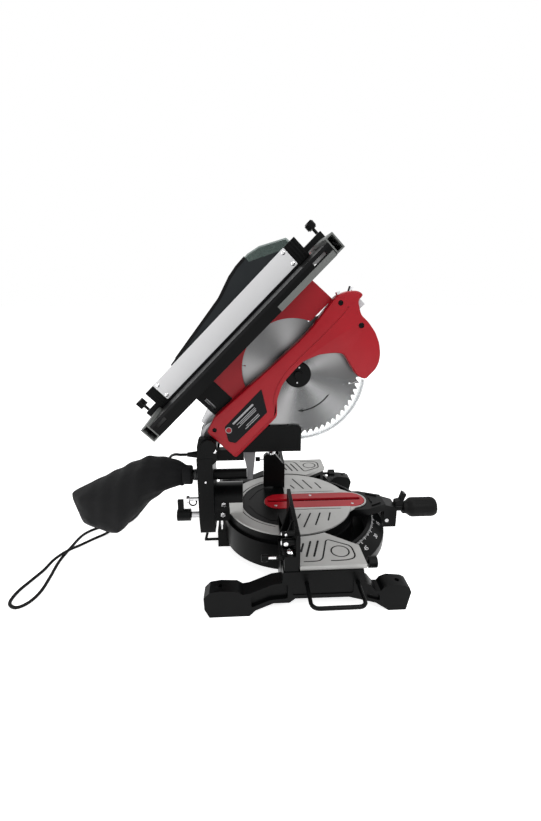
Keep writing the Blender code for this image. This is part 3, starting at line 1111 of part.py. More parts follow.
def build_handle(head):
    """The D handle on the far wall with its trigger and lock-off button."""
    size = (HANDLE_SIZE, HANDLE_SIZE)
    outline = from_shares(HANDLE_SHARES, size, (HANDLE_Y, HANDLE_Z))
    opening = HANDLE_SIZE - 2 * HANDLE_BAR
    finger = from_shares(HANDLE_SHARES, (opening, opening), (HANDLE_Y, HANDLE_Z))
    left = FRAME_WALL_RIGHT + SEAT_GAP
    foot_rear = HANDLE_Y + HANDLE_SIZE / 2
    solids = [prism(outline, "X", HANDLE_LEFT, HANDLE_RIGHT)]
    foot_low, foot_high = HANDLE_Z - HANDLE_BAR, HANDLE_Z + HANDLE_SIZE / 2 - 3 * SINK
    solids.append(block((left, HANDLE_LEFT + SINK), (foot_rear - HANDLE_BAR + SINK, foot_rear - SINK), (foot_low, foot_high)))
    holes = [prism(finger, "X", HANDLE_LEFT - OVERRUN, HANDLE_RIGHT + OVERRUN)]
    middle = (HANDLE_LEFT + HANDLE_RIGHT) / 2
    bar_rear = HANDLE_Y - HANDLE_SIZE / 2 + HANDLE_BAR
    deep = TRIGGER_TRAVEL + 2 * SINK
    slot_half = TRIGGER_WIDTH / 2 + SEAT_GAP
    low, high = HANDLE_Z - HANDLE_BAR / 2, HANDLE_Z + HANDLE_BAR / 2
    holes.append(block((middle - slot_half, middle + slot_half), (bar_rear - deep, bar_rear + SINK),
                       (low - SEAT_GAP, high + SEAT_GAP)))
    bar_front = HANDLE_Y - HANDLE_SIZE / 2
    top = HANDLE_Z + HANDLE_SIZE / 2
    y_button = (bar_front + bar_rear) / 2 + HANDLE_BAR / 2
    holes.append(bar((middle, y_button, top - BUTTON_TRAVEL - 2 * SINK), (middle, y_button, top + OVERRUN),
                     BUTTON_RADIUS + SEAT_GAP, 16))
    node("handle", PLASTIC_BLACK, head, solids, holes)
    pull = axis_empty("trigger_slide", (middle, bar_rear, HANDLE_Z), head)
    node("trigger", PLASTIC_BLACK, pull, [block(
        (middle - TRIGGER_WIDTH / 2, middle + TRIGGER_WIDTH / 2),
        (bar_rear - deep + TRIGGER_TRAVEL + SEAT_GAP, bar_rear + TRIGGER_TRAVEL + SINK), (low, high))])
    press = axis_empty("lock_off_slide", (middle, y_button, top), head)
    node("lock_off_button", PLASTIC_RED, press, [bar(
        (middle, y_button, top - 2 * SINK + SEAT_GAP), (middle, y_button, top + BUTTON_TRAVEL + SINK / 2),
        BUTTON_RADIUS, 16)])


def build_lower_guard(head):
    arbor = (BLADE_Y, BLADE_Z)
    turn = axis_empty("lower_guard_axis", (0, *arbor), head)
    half, sheet = GUARD_HALF_WIDTH, GUARD_SHEET
    front, rear = -90 + GUARD_FRONT_DEG, -90 + GUARD_REAR_DEG
    sector = [tuple(arbor)] + arc(arbor, GUARD_RADIUS, front, rear, 24)
    hub = bar((-half, *arbor), (half, *arbor), GUARD_HUB_RADIUS, 32)
    inner = half - sheet
    slit = [tuple(arbor)] + arc(arbor, GUARD_RADIUS - GUARD_RIM, front - 3, rear + 3, 24)
    holes = [prism(slit, "X", -inner, inner)]
    holes.append(bar((-inner, *arbor), (inner, *arbor), GUARD_HUB_RADIUS + OVERRUN, 32))
    holes.append(bar((-half - OVERRUN, *arbor), (half + OVERRUN, *arbor), GUARD_BORE, 32))
    node("lower_guard", CLEAR, turn, [prism(sector, "X", -half, half), hub], holes)


def build_upper_table(head):
    lift = axis_empty("upper_table_slide", (0, SKIRT_REAR, UPPER_BOTTOM), head)
    half = UPPER_HALF_WIDTH
    front, rear = UPPER_FRONT + RAIL_DEPTH + SEAT_GAP, UPPER_REAR - RAIL_DEPTH - SEAT_GAP
    wall = UPPER_WALL
    under = UPPER_TOP - UPPER_PLATE
    holes = [block((-half + wall, half - wall), (front + wall, rear - wall), (UPPER_BOTTOM - OVERRUN, under)),
             block((-UPPER_SLOT_HALF, UPPER_SLOT_HALF), (UPPER_SLOT_FRONT, UPPER_SLOT_REAR),
                   (under - OVERRUN, UPPER_TOP + OVERRUN))]
    node("upper_table", PAINT_BLACK, lift, [block((-half, half), (front, rear), (UPPER_BOTTOM, UPPER_TOP))], holes)
    for name, low in (("front_guide_rail", UPPER_FRONT), ("rear_guide_rail", UPPER_REAR - RAIL_DEPTH)):
        thick = RAIL_WALL
        node(name, ALUMINIUM, lift, [block((-half, half), (low, low + RAIL_DEPTH), (UPPER_BOTTOM, RAIL_TOP))],
             [block((-half - OVERRUN, half + OVERRUN), (low + thick, low + RAIL_DEPTH - thick),
                    (UPPER_BOTTOM + thick, RAIL_TOP - thick))])
    build_skirt(lift, under)
    build_height_guide(lift, under)
    return lift


def build_height_guide(lift, under):
    """The plate that hangs from the table and slides down the front of the head's rear block."""
    left, right = -FRAME_BOSS_LEFT, GUIDE_THICKNESS - FRAME_BOSS_LEFT
    rear = FRAME_REAR_FRONT - SEAT_GAP
    slot_rear = rear - GUIDE_SLOT_INSET
    node("height_guide", PAINT_BLACK, lift,
         [block((left, right), (SKIRT_REAR + SEAT_GAP, rear), (GUIDE_BOTTOM, under - SEAT_GAP))],
         [block((left - OVERRUN, right + OVERRUN), (slot_rear - GUIDE_SLOT_WIDTH, slot_rear),
                (GUIDE_SLOT_BOTTOM, GUIDE_SLOT_TOP))])


def build_skirt(lift, under):
    """The red skirt: two plates that straddle the blade under the table, tied at the front. The left one is arched."""
    top = under - SEAT_GAP
    chamfer = SKIRT_FRONT + 3 * SINK
    solids = []
    for left, right, low in (
        (-SKIRT_OUTER, -SKIRT_INNER, SKIRT_BOTTOM), (SKIRT_INNER, SKIRT_OUTER, SKIRT_RIGHT_BOTTOM),
    ):
        outline = [(chamfer, top), (SKIRT_FRONT, low), (SKIRT_REAR, low), (SKIRT_REAR, top)]
        solids.append(prism(outline, "X", left, right))
    tie_low = UPPER_BOTTOM - SINK
    tie_y = (chamfer, chamfer + SINK)
    solids.append(block((-SKIRT_OUTER + SINK / 2, SKIRT_OUTER - SINK / 2), tie_y, (tie_low, top - SINK / 2)))
    lip = 4 * SINK
    for side in (-1, 1):
        x = sorted((side * SKIRT_INNER, side * (SKIRT_OUTER + lip)))
        solids.append(block(x, (chamfer, SKIRT_REAR), (top - SINK, top)))
    arch = (BLADE_Y, BLADE_Z + SKIRT_ARCH_RISE)
    node("table_skirt", PLASTIC_RED, lift, solids, [bar(
        (-SKIRT_OUTER - OVERRUN, *arch), (-SKIRT_INNER + OVERRUN, *arch), SKIRT_ARCH_SHARE * BLADE_DIAMETER / 2, 64)])


def build_riving_knife(head):
    arbor = (BLADE_Y, BLADE_Z)
    radius = BLADE_DIAMETER / 2 + KNIFE_GAP
    low = math.degrees(math.asin((KNIFE_BOTTOM - BLADE_Z) / radius))
    inner = arc(arbor, radius, low, low + KNIFE_WRAP_DEG, 6)
    lean = inner[-1]
    outline = [(KNIFE_FOOT_REAR, KNIFE_BOTTOM), (KNIFE_FOOT_REAR, KNIFE_BOTTOM + 4 * SINK),
               (KNIFE_REAR, KNIFE_BOTTOM + 10 * SINK), (KNIFE_REAR, KNIFE_TOP), (KNIFE_REAR - 10 * SINK, KNIFE_TOP),
               (lean[0], KNIFE_TOP - 15 * SINK)] + list(reversed(inner))
    half = KNIFE_THICKNESS / 2
    hinge = knife_pin()
    node("riving_knife", STEEL, head, [prism(outline, "X", -half, half)],
         [bar((-half - OVERRUN, *hinge), (half + OVERRUN, *hinge), KNIFE_PIN_RADIUS + SEAT_GAP, 12)])


def knife_pin():
    """Where the upper guard's hinge pin crosses the riving knife."""
    return (KNIFE_REAR - 2.5 * KNIFE_PIN_RADIUS, KNIFE_TOP - 2.5 * KNIFE_PIN_RADIUS)


def build_upper_guard(head):
    hinge = knife_pin()
    lift = axis_empty("upper_guard_axis", (0, *hinge), head)
    outline = head_outline(UPPER_GUARD_SHARES)
    half, wall = UPPER_GUARD_HALF, UPPER_GUARD_WALL
    pocket = inset(outline, wall)
    bottom = UPPER_GUARD_BOTTOM - 2 * OVERRUN
    pocket[0] = (outline[0][0] + OVERRUN, bottom)
    pocket[1] = (outline[0][0] + OVERRUN, pocket[1][1])
    pocket[-1] = (pocket[-1][0], bottom)
    made = node("guard_blank", CLEAR, lift, [prism(outline, "X", -half, half)],
                [prism(pocket, "X", -half + wall, half - wall)])
    pin = bar((-half + SINK / 2, *hinge), (half - SINK / 2, *hinge), KNIFE_PIN_RADIUS, 12)
    node("upper_guard", CLEAR, lift, [taken(made), pin])


def build_rip_fence(lift):
    slide = axis_empty("rip_fence_slide", (-RIP_LEFT, RIP_FRONT, UPPER_TOP), lift)
    left, right = -RIP_LEFT, -RIP_RIGHT
    low = UPPER_TOP + SEAT_GAP
    wall = RIP_WALL
    node("rip_fence", SILVER, slide, [block((left, right), (RIP_FRONT, RIP_REAR), (low, RIP_TOP))],
         [block((left + wall, right - wall), (RIP_FRONT - OVERRUN, RIP_REAR + OVERRUN), (low + wall, RIP_TOP - wall))])
    over = RAIL_TOP + SEAT_GAP
    bridge = over + CLAMP_DROP
    ends = (
        ("front", -1, RIP_FRONT - SEAT_GAP, RIP_FRONT - RIP_CAP, UPPER_FRONT - SEAT_GAP),
        ("rear", 1, RIP_REAR + SEAT_GAP, RIP_REAR + RIP_CAP_REAR, UPPER_REAR + SEAT_GAP),
    )
    for name, side, near, far, beyond in ends:
        tip = beyond + side * CLAMP_DROP
        solids = [block((left, right), sorted((near, far)), (low, RIP_TOP)),
                  block((left, right), sorted((far - side * SINK, tip)), (over, bridge)),
                  block((left, right), sorted((beyond, tip)), (UPPER_TOP - CLAMP_DROP, bridge - SINK))]
        node(name + "_fence_cap", PLASTIC_BLACK, slide, solids)
        x = (left + right) / 2
        y = (beyond + tip) / 2
        start = bridge + SEAT_GAP
        knob = start + CLAMP_STEM
        axis = axis_empty(name + "_fence_knob_axis", (x, y, start), slide)
        node(name + "_fence_knob", PLASTIC_BLACK, axis, [
            bar((x, y, start), (x, y, knob + SINK), CLAMP_STEM_RADIUS, 10),
            bar((x, y, knob), (x, y, knob + CLAMP_KNOB_HEIGHT), CLAMP_KNOB_RADIUS, 12),
            block((x - CLAMP_KNOB_HALF, x + CLAMP_KNOB_HALF), (y - CLAMP_KNOB_RADIUS / 2, y + CLAMP_KNOB_RADIUS / 2),
                  (knob - SINK, knob + CLAMP_KNOB_HEIGHT + SINK))])


def stand_on_floor(root, loose):
    """Moves the root so that the feet stand at z = 0 about the middle of the footprint."""
    bpy.context.view_layer.update()
    graph = bpy.context.evaluated_depsgraph_get()
    corners = []
    for made in bpy.context.scene.objects:
        if made.type == "EMPTY" or made.name in loose:
            continue
        shape = made.evaluated_get(graph)
        corners += [made.matrix_world @ point.co for point in shape.to_mesh().vertices]
        shape.to_mesh_clear()
    places = np.array([tuple(p) for p in corners])
    low, high = places.min(axis=0), places.max(axis=0)
    root.location = (-(low[0] + high[0]) / 2, -(low[1] + high[1]) / 2, TABLE_HEIGHT)


clear_scene()
PAINT_BLACK = material("black_paint", (0.012, 0.012, 0.013), 0.42)
PLASTIC_BLACK = material("black_plastic", (0.016, 0.016, 0.017), 0.5)
PLASTIC_RED = material("red_plastic", (0.60, 0.012, 0.022), 0.38)
SILVER = material("silver_paint", (0.55, 0.56, 0.57), 0.4, 0.6)
ALUMINIUM = material("cast_aluminium", (0.42, 0.43, 0.44), 0.45, 0.9)
STEEL = material("steel", (0.55, 0.55, 0.54), 0.3, 1.0)
CHROME = material("chrome", (0.7, 0.7, 0.7), 0.12, 1.0)
GREY = material("grey_plastic", (0.2, 0.2, 0.21), 0.5)
CLEAR = material("clear_guard", (0.7, 0.72, 0.73), 0.15, 0.0, 0.35)
RUBBER = material("black_rubber", (0.01, 0.01, 0.01), 0.7)
COPPER = material("motor_metal", (0.45, 0.2, 0.1), 0.4, 0.9)
FABRIC = material("bag_fabric", (0.012, 0.012, 0.014), 0.9)

root_empty = axis_empty("saw_root", (0, 0, 0))
build_base(root_empty)
build_wings(root_empty)
build_scale(root_empty)
build_fences(root_empty)
build_support_rods(root_empty)
turntable_empty = build_turntable(root_empty)
build_mitre_grip(turntable_empty)
tilt_empty = build_tilt_bracket(turntable_empty)
build_dust_parts(tilt_empty)
build_cord(tilt_empty, turntable_empty)
head_empty = build_head_frame(tilt_empty)
build_drive(head_empty)
build_motor_case(head_empty)
build_handle(head_empty)
build_lower_guard(head_empty)
table_empty = build_upper_table(head_empty)
build_riving_knife(head_empty)
build_upper_guard(head_empty)
build_rip_fence(table_empty)
stand_on_floor(root_empty, ("power_cord", "cord_coil", "plug", "cord_gland"))
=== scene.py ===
"""A mitre saw with an upper saw table, at rest with its head raised. Metres, +X the operator's right, +Z up."""

import json
import math

import bmesh
import bpy
from mathutils import Matrix, Vector

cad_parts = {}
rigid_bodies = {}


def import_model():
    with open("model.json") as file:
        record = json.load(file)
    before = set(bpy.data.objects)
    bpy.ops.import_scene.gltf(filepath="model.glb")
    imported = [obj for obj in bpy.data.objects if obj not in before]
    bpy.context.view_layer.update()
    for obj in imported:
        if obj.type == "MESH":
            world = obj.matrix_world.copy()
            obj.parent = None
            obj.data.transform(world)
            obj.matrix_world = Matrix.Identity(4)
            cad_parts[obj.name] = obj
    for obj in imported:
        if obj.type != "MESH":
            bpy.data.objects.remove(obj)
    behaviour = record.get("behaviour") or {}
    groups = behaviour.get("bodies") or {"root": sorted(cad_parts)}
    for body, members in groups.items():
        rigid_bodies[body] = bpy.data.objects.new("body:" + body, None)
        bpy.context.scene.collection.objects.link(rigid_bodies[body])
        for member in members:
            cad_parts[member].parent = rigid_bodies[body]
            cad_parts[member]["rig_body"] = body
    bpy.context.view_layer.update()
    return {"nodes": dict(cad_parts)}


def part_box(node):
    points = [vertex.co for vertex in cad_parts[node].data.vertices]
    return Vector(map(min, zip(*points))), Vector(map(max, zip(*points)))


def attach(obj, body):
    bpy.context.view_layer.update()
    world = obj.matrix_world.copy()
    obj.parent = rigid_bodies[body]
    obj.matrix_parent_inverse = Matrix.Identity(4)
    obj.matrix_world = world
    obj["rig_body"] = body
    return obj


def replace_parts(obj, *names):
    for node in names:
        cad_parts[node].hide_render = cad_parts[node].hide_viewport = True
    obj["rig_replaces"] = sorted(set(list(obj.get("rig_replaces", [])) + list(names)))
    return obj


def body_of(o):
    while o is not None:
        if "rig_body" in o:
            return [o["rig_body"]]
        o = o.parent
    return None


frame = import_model()
NODES = frame["nodes"]

# The saw's own drawing stands over the turntable's centre, at the height of the turntable's top.
DRAWN = Matrix.Translation((0, -0.0685, 0.093))
PIVOT = Vector((0, 0.165, 0.147))
RAISED = (DRAWN @ Matrix.Translation(PIVOT) @ Matrix.Rotation(-math.pi / 4, 4, "X") @ Matrix.Translation(-PIVOT))
ARBOR = (-0.056, 0.114)


# ---- Camera and cord ----

def add_camera():
    turn, tilt = math.radians(3.28), math.radians(16.10)
    forward = Vector((math.cos(tilt) * math.cos(turn), -math.cos(tilt) * math.sin(turn), -math.sin(tilt)))
    data = bpy.data.cameras.new("camera")
    data.lens = 18.25
    data.sensor_width = 36
    data.clip_start = 0.05
    data.clip_end = 60
    camera = bpy.data.objects.new("camera", data)
    camera.matrix_world = Matrix.Translation((-0.817, 0.0185, 0.535)) @ forward.to_track_quat("-Z", "Y").to_matrix().to_4x4()
    bpy.context.scene.collection.objects.link(camera)
    bpy.context.scene.camera = camera


def smooth_route(points, steps):
    knots = [Vector(p) for p in points]
    knots = [knots[0] * 2 - knots[1]] + knots + [knots[-1] * 2 - knots[-2]]
    dense = []
    for before, start, end, after in zip(knots, knots[1:], knots[2:], knots[3:]):
        for step in range(steps):
            t = step / steps
            dense.append(0.5 * (2 * start + (end - before) * t + (2 * before - 5 * start + 4 * end - after) * t ** 2
                                + (3 * start - before - 3 * end + after) * t ** 3))
    return dense + [knots[-2]]


def coil_loops():
    """The loops spiral in on the floor, climb over the innermost one, and spiral out again on top."""
    steps, pitch, loops, points = 24, 0.0066, 60, []
    for i in range(2 * loops + 1):
        from_middle = (i - loops) / steps
        climbed = min(1, max(0, (2 * from_middle + 0.6) / 1.05))
        reach = 0.033 - pitch * 1.25 + pitch * abs(from_middle)
        angle = 2 * math.pi * i / steps - math.pi / 2
        points.append(Vector((0.150 + reach * math.cos(angle), 0.402 + reach * math.sin(angle), 0.003 + pitch * climbed)))
    end = points[-1]
    return points + [end + Vector((0.018, 0, 0)), end + Vector((0.036, 0, 0))]


CORD_ROUTE = (
    (0.000, 0.2150, 0.206), (0.000, 0.228, 0.206), (0.014, 0.243, 0.201), (0.040, 0.258, 0.184),
    (0.056, 0.278, 0.150), (0.062, 0.300, 0.105), (0.063, 0.328, 0.056), (0.064, 0.366, 0.018),
    (0.066, 0.408, 0.0035), (0.060, 0.440, 0.003), (0.034, 0.463, 0.003), (-0.010, 0.471, 0.003),
    (-0.060, 0.476, 0.003), (-0.110, 0.473, 0.003), (-0.150, 0.472, 0.003), (-0.178, 0.480, 0.003),
    (-0.190, 0.496, 0.003), (-0.178, 0.513, 0.003), (-0.150, 0.514, 0.003), (-0.120, 0.505, 0.003),
    (-0.090, 0.494, 0.004), (-0.064, 0.484, 0.0095), (-0.036, 0.470, 0.0095), (-0.008, 0.454, 0.004),
    (0.016, 0.434, 0.003), (0.036, 0.412, 0.004), (0.056, 0.392, 0.0095), (0.080, 0.374, 0.005),
    (0.108, 0.3640, 0.003), (0.130, 0.3610, 0.003), (0.1492, 0.3607, 0.003),
)


def add_cord():
    ends = [soften("plug", 0.0008, segments=3), soften("cord_gland", 0.0006, segments=3)]
    points = smooth_route(CORD_ROUTE, 6) + coil_loops()
    points = [p + Vector((0, -0.0685, 0)) for p in points]
    data = bpy.data.curves.new("mains_cord", "CURVE")
    data.dimensions = "3D"
    data.bevel_depth = 0.003
    data.bevel_resolution = 3
    data.use_fill_caps = True
    spline = data.splines.new("POLY")
    spline.points.add(len(points) - 1)
    for point, place in zip(spline.points, points):
        point.co = (*place, 1)
    cord = bpy.data.objects.new("mains_cord", data)
    bpy.context.scene.collection.objects.link(cord)
    dress(cord, "black_rubber", "table", ("power_cord", "cord_coil"))


# ---- Finishes ----

def group_sockets(group, inputs, outputs):
    for name, kind, value in inputs:
        socket = group.interface.new_socket(name, in_out="INPUT", socket_type=kind)
        socket.default_value = value
    for name, kind in outputs:
        group.interface.new_socket(name, in_out="OUTPUT", socket_type=kind)
    return group.nodes.new("NodeGroupInput"), group.nodes.new("NodeGroupOutput")


def math_node(tree, operation, a, b=None, c=None, clamp=False):
    node = tree.nodes.new("ShaderNodeMath")
    node.operation = operation
    node.use_clamp = clamp
    for socket, value in zip(node.inputs, (a, b, c)):
        if value is None:
            continue
        if hasattr(value, "links"):
            tree.links.new(value, socket)
        else:
            socket.default_value = value
    return node.outputs[0]


def noise(tree, coordinates, scale, detail=3.0, roughness=0.5):
    node = tree.nodes.new("ShaderNodeTexNoise")
    tree.links.new(coordinates, node.inputs["Vector"])
    if hasattr(scale, "links"):
        tree.links.new(scale, node.inputs["Scale"])
    else:
        node.inputs["Scale"].default_value = scale
    node.inputs["Detail"].default_value = detail
    node.inputs["Roughness"].default_value = roughness
    return node.outputs["Fac"]


def mix_colour(tree, share, a, b):
    node = tree.nodes.new("ShaderNodeMix")
    node.data_type = "RGBA"
    for socket, value in ((node.inputs["Factor"], share), (node.inputs["A"], a), (node.inputs["B"], b)):
        if hasattr(value, "links"):
            tree.links.new(value, socket)
        else:
            socket.default_value = value
    return node.outputs["Result"]


def object_coordinates(tree):
    return tree.nodes.new("ShaderNodeTexCoord").outputs["Object"]


def build_moulded():
    """Uneven tone and gloss over a fine grain, as on moulded plastic, powder coat and castings."""
    tree = bpy.data.node_groups.new("moulded_skin", "ShaderNodeTree")
    source, result = group_sockets(tree, (
        ("Colour", "NodeSocketColor", (0.5, 0.5, 0.5, 1)), ("Worn Colour", "NodeSocketColor", (0.4, 0.4, 0.4, 1)),
        ("Patch Scale", "NodeSocketFloat", 14.0), ("Grain Scale", "NodeSocketFloat", 900.0),
        ("Gloss Low", "NodeSocketFloat", 0.3), ("Gloss High", "NodeSocketFloat", 0.5),
    ), (("Colour", "NodeSocketColor"), ("Roughness", "NodeSocketFloat"), ("Height", "NodeSocketFloat")))
    place = object_coordinates(tree)
    patches = noise(tree, place, source.outputs["Patch Scale"], 4.0, 0.6)
    grain = noise(tree, place, source.outputs["Grain Scale"], 2.0, 0.5)
    share = math_node(tree, "MULTIPLY_ADD", patches, 2.4, -0.8, clamp=True)
    tone = mix_colour(tree, share, source.outputs["Colour"], source.outputs["Worn Colour"])
    tree.links.new(tone, result.inputs["Colour"])
    spread = math_node(tree, "SUBTRACT", source.outputs["Gloss High"], source.outputs["Gloss Low"])
    mixed = math_node(tree, "MULTIPLY_ADD", grain, 0.5, math_node(tree, "MULTIPLY", patches, 0.5))
    tree.links.new(math_node(tree, "MULTIPLY_ADD", mixed, spread, source.outputs["Gloss Low"]), result.inputs["Roughness"])
    tree.links.new(grain, result.inputs["Height"])
    return tree


def build_brushed():
    """Fine straight scratches along one axis: the coordinates are squeezed across it by the Along vector."""
    tree = bpy.data.node_groups.new("brushed_skin", "ShaderNodeTree")
    source, result = group_sockets(tree, (
        ("Colour", "NodeSocketColor", (0.6, 0.6, 0.6, 1)), ("Scratch Colour", "NodeSocketColor", (0.5, 0.5, 0.5, 1)),
        ("Along", "NodeSocketVector", (600, 6, 600)), ("Gloss Low", "NodeSocketFloat", 0.25),
        ("Gloss High", "NodeSocketFloat", 0.4),
    ), (("Colour", "NodeSocketColor"), ("Roughness", "NodeSocketFloat"), ("Height", "NodeSocketFloat")))
    squeeze = tree.nodes.new("ShaderNodeVectorMath")
    squeeze.operation = "MULTIPLY"
    tree.links.new(object_coordinates(tree), squeeze.inputs[0])
    tree.links.new(source.outputs["Along"], squeeze.inputs[1])
    lines = noise(tree, squeeze.outputs[0], 1.0, 3.0, 0.6)
    tree.links.new(mix_colour(tree, lines, source.outputs["Colour"], source.outputs["Scratch Colour"]), result.inputs["Colour"])
    spread = math_node(tree, "SUBTRACT", source.outputs["Gloss High"], source.outputs["Gloss Low"])
    tree.links.new(math_node(tree, "MULTIPLY_ADD", lines, spread, source.outputs["Gloss Low"]), result.inputs["Roughness"])
    tree.links.new(lines, result.inputs["Height"])
    return tree


MOULDED = build_moulded()
BRUSHED = build_brushed()


def finish(name, group, values, metallic=0.0, bump=0.1, depth=0.0002, **constants):
    made = bpy.data.materials.new(name + "_finish")
    made.use_nodes = True
    tree = made.node_tree
    shader = tree.nodes["Principled BSDF"]
    skin = tree.nodes.new("ShaderNodeGroup")
    skin.node_tree = group
    for key, value in values.items():
        skin.inputs[key].default_value = value
    relief = tree.nodes.new("ShaderNodeBump")
    relief.inputs["Strength"].default_value = bump
    relief.inputs["Distance"].default_value = depth
    tree.links.new(skin.outputs["Colour"], shader.inputs["Base Color"])
    tree.links.new(skin.outputs["Roughness"], shader.inputs["Roughness"])
    tree.links.new(skin.outputs["Height"], relief.inputs["Height"])
    tree.links.new(relief.outputs["Normal"], shader.inputs["Normal"])
    shader.inputs["Metallic"].default_value = metallic
    for key, value in constants.items():
        shader.inputs[key.replace("_", " ").title().replace("Ior", "IOR")].default_value = value
    made.diffuse_color = values["Colour"]
    return made


def moulded(name, colour, worn, low, high, patch=14, grain=900, **more):
    return finish(name, MOULDED, {"Colour": (*colour, 1), "Worn Colour": (*worn, 1), "Patch Scale": patch,
                                  "Grain Scale": grain, "Gloss Low": low, "Gloss High": high}, **more)


def brushed(name, colour, scratch, low, high, along=(600, 6, 600), **more):
    return finish(name, BRUSHED, {"Colour": (*colour, 1), "Scratch Colour": (*scratch, 1), "Along": along,
                                  "Gloss Low": low, "Gloss High": high}, **more)


FINISHES = {
    "red_plastic": moulded("red_plastic", (0.38, 0.006, 0.014), (0.33, 0.005, 0.012), 0.26, 0.42, bump=0.12,
                           coat_weight=0.06, coat_roughness=0.18, specular_ior_level=0.25),
    "black_plastic": moulded("black_plastic", (0.0022, 0.0024, 0.0025), (0.0045, 0.0047, 0.0048), 0.28, 0.45, bump=0.2,
                             specular_ior_level=0.08),
    "black_paint": moulded("black_paint", (0.0018, 0.002, 0.0021), (0.004, 0.0042, 0.0043), 0.24, 0.42, patch=9,
                           grain=420, bump=0.3, specular_ior_level=0.08),
    "black_rubber": moulded("black_rubber", (0.0035, 0.0035, 0.0035), (0.007, 0.007, 0.007), 0.45, 0.65, bump=0.2,
                            specular_ior_level=0.1),
    "grey_plastic": moulded("grey_plastic", (0.16, 0.16, 0.165), (0.13, 0.13, 0.135), 0.38, 0.55, bump=0.15),
    "silver_paint": moulded("silver_paint", (0.42, 0.42, 0.41), (0.36, 0.36, 0.35), 0.34, 0.52, metallic=0.55,
                            patch=20, grain=1500, bump=0.15),
    "cast_aluminium": moulded("cast_aluminium", (0.42, 0.42, 0.43), (0.34, 0.34, 0.35), 0.40, 0.62, metallic=0.8,
                              patch=30, grain=600, bump=0.3),
    "steel": brushed("steel", (0.50, 0.50, 0.51), (0.40, 0.40, 0.41), 0.24, 0.40, metallic=1.0),
    "chrome": moulded("chrome", (0.72, 0.72, 0.73), (0.66, 0.66, 0.67), 0.08, 0.16, metallic=1.0, bump=0.02),
    "motor_metal": brushed("motor_metal", (0.30, 0.29, 0.28), (0.20, 0.19, 0.18), 0.35, 0.55, metallic=0.9,
                           along=(6, 500, 500)),
}


FINISHES["fence_white"] = brushed("fence_white", (0.80, 0.80, 0.81), (0.72, 0.72, 0.73), 0.30, 0.42, metallic=0.15,
                                  along=(400, 8, 8), bump=0.05)
FINISHES["carbide"] = moulded("carbide", (0.55, 0.55, 0.56), (0.42, 0.42, 0.43), 0.25, 0.4, metallic=0.9, patch=200)
FINISHES["ink_black"] = moulded("ink_black", (0.004, 0.004, 0.004), (0.007, 0.007, 0.007), 0.4, 0.5, bump=0.02,
                                specular_ior_level=0.1)
FINISHES["label_black"] = moulded("label_black", (0.004, 0.004, 0.005), (0.006, 0.006, 0.007), 0.22, 0.3, bump=0.03,
                                  specular_ior_level=0.1)
FINISHES["print_grey"] = moulded("print_grey", (0.42, 0.42, 0.43), (0.36, 0.36, 0.37), 0.4, 0.5, bump=0.02)
FINISHES["rail_grey"] = moulded("rail_grey", (0.13, 0.135, 0.13), (0.10, 0.105, 0.10), 0.35, 0.5, patch=12, bump=0.15)
FINISHES["slate_shell"] = moulded("slate_shell", (0.012, 0.015, 0.017), (0.018, 0.021, 0.023), 0.14, 0.26, bump=0.05,
                                  coat_weight=0.05, coat_roughness=0.12, specular_ior_level=0.15)
FINISHES["gloss_black"] = moulded("gloss_black", (0.003, 0.003, 0.0035), (0.006, 0.006, 0.0065), 0.12, 0.22, bump=0.08,
                                  specular_ior_level=0.12)


def blade_finish():
    """Ground steel: fine rings round the arbor, and a painted sheen of bright and dark rays in the base colour that
    turns with them.
    """
    made = bpy.data.materials.new("blade_steel_finish")
    made.use_nodes = True
    tree = made.node_tree
    shader = tree.nodes["Principled BSDF"]
    centre = tree.nodes.new("ShaderNodeMapping")
    centre.inputs["Location"].default_value = (0, 0.083105, -0.372936)
    tree.links.new(object_coordinates(tree), centre.inputs["Vector"])
    rings = tree.nodes.new("ShaderNodeTexWave")
    rings.wave_type = "RINGS"
    rings.rings_direction = "X"
    rings.inputs["Scale"].default_value = 480
    rings.inputs["Distortion"].default_value = 1.2
    tree.links.new(centre.outputs["Vector"], rings.inputs["Vector"])
    smears = noise(tree, centre.outputs["Vector"], 26.0, 4.0, 0.6)
    apart = tree.nodes.new("ShaderNodeSeparateXYZ")
    tree.links.new(centre.outputs["Vector"], apart.inputs["Vector"])
    turn = math_node(tree, "ARCTAN2", apart.outputs["Z"], apart.outputs["Y"])
    # Painted sheen: five bright and dark rays round the arbor lighten the base colour as a painted highlight, mixed
    # with the real ground rings and smears.
    painted_rays = math_node(tree, "SINE", math_node(tree, "MULTIPLY_ADD", turn, 5.0, 1.1))
    painted_sheen = math_node(tree, "POWER", math_node(tree, "MULTIPLY_ADD", painted_rays, 0.5, 0.5, clamp=True), 1.6)
    share = math_node(tree, "MULTIPLY_ADD", rings.outputs["Fac"], 0.5, math_node(tree, "MULTIPLY", smears, 0.5))
    tone = math_node(tree, "MULTIPLY_ADD", painted_sheen, 0.7, math_node(tree, "MULTIPLY", share, 0.3))
    tree.links.new(mix_colour(tree, tone, (0.075, 0.075, 0.076, 1), (0.30, 0.30, 0.302, 1)), shader.inputs["Base Color"])
    tree.links.new(math_node(tree, "MULTIPLY_ADD", share, 0.14, 0.26), shader.inputs["Roughness"])
    relief = tree.nodes.new("ShaderNodeBump")
    relief.inputs["Strength"].default_value = 0.06
    relief.inputs["Distance"].default_value = 0.0001
    tree.links.new(rings.outputs["Fac"], relief.inputs["Height"])
    tree.links.new(relief.outputs["Normal"], shader.inputs["Normal"])
    turning = tree.nodes.new("ShaderNodeTangent")
    turning.direction_type = "RADIAL"
    turning.axis = "X"
    tree.links.new(turning.outputs["Tangent"], shader.inputs["Tangent"])
    shader.inputs["Metallic"].default_value = 1.0
    shader.inputs["Anisotropic"].default_value = 0.75
    return made


FINISHES["blade_steel"] = blade_finish()


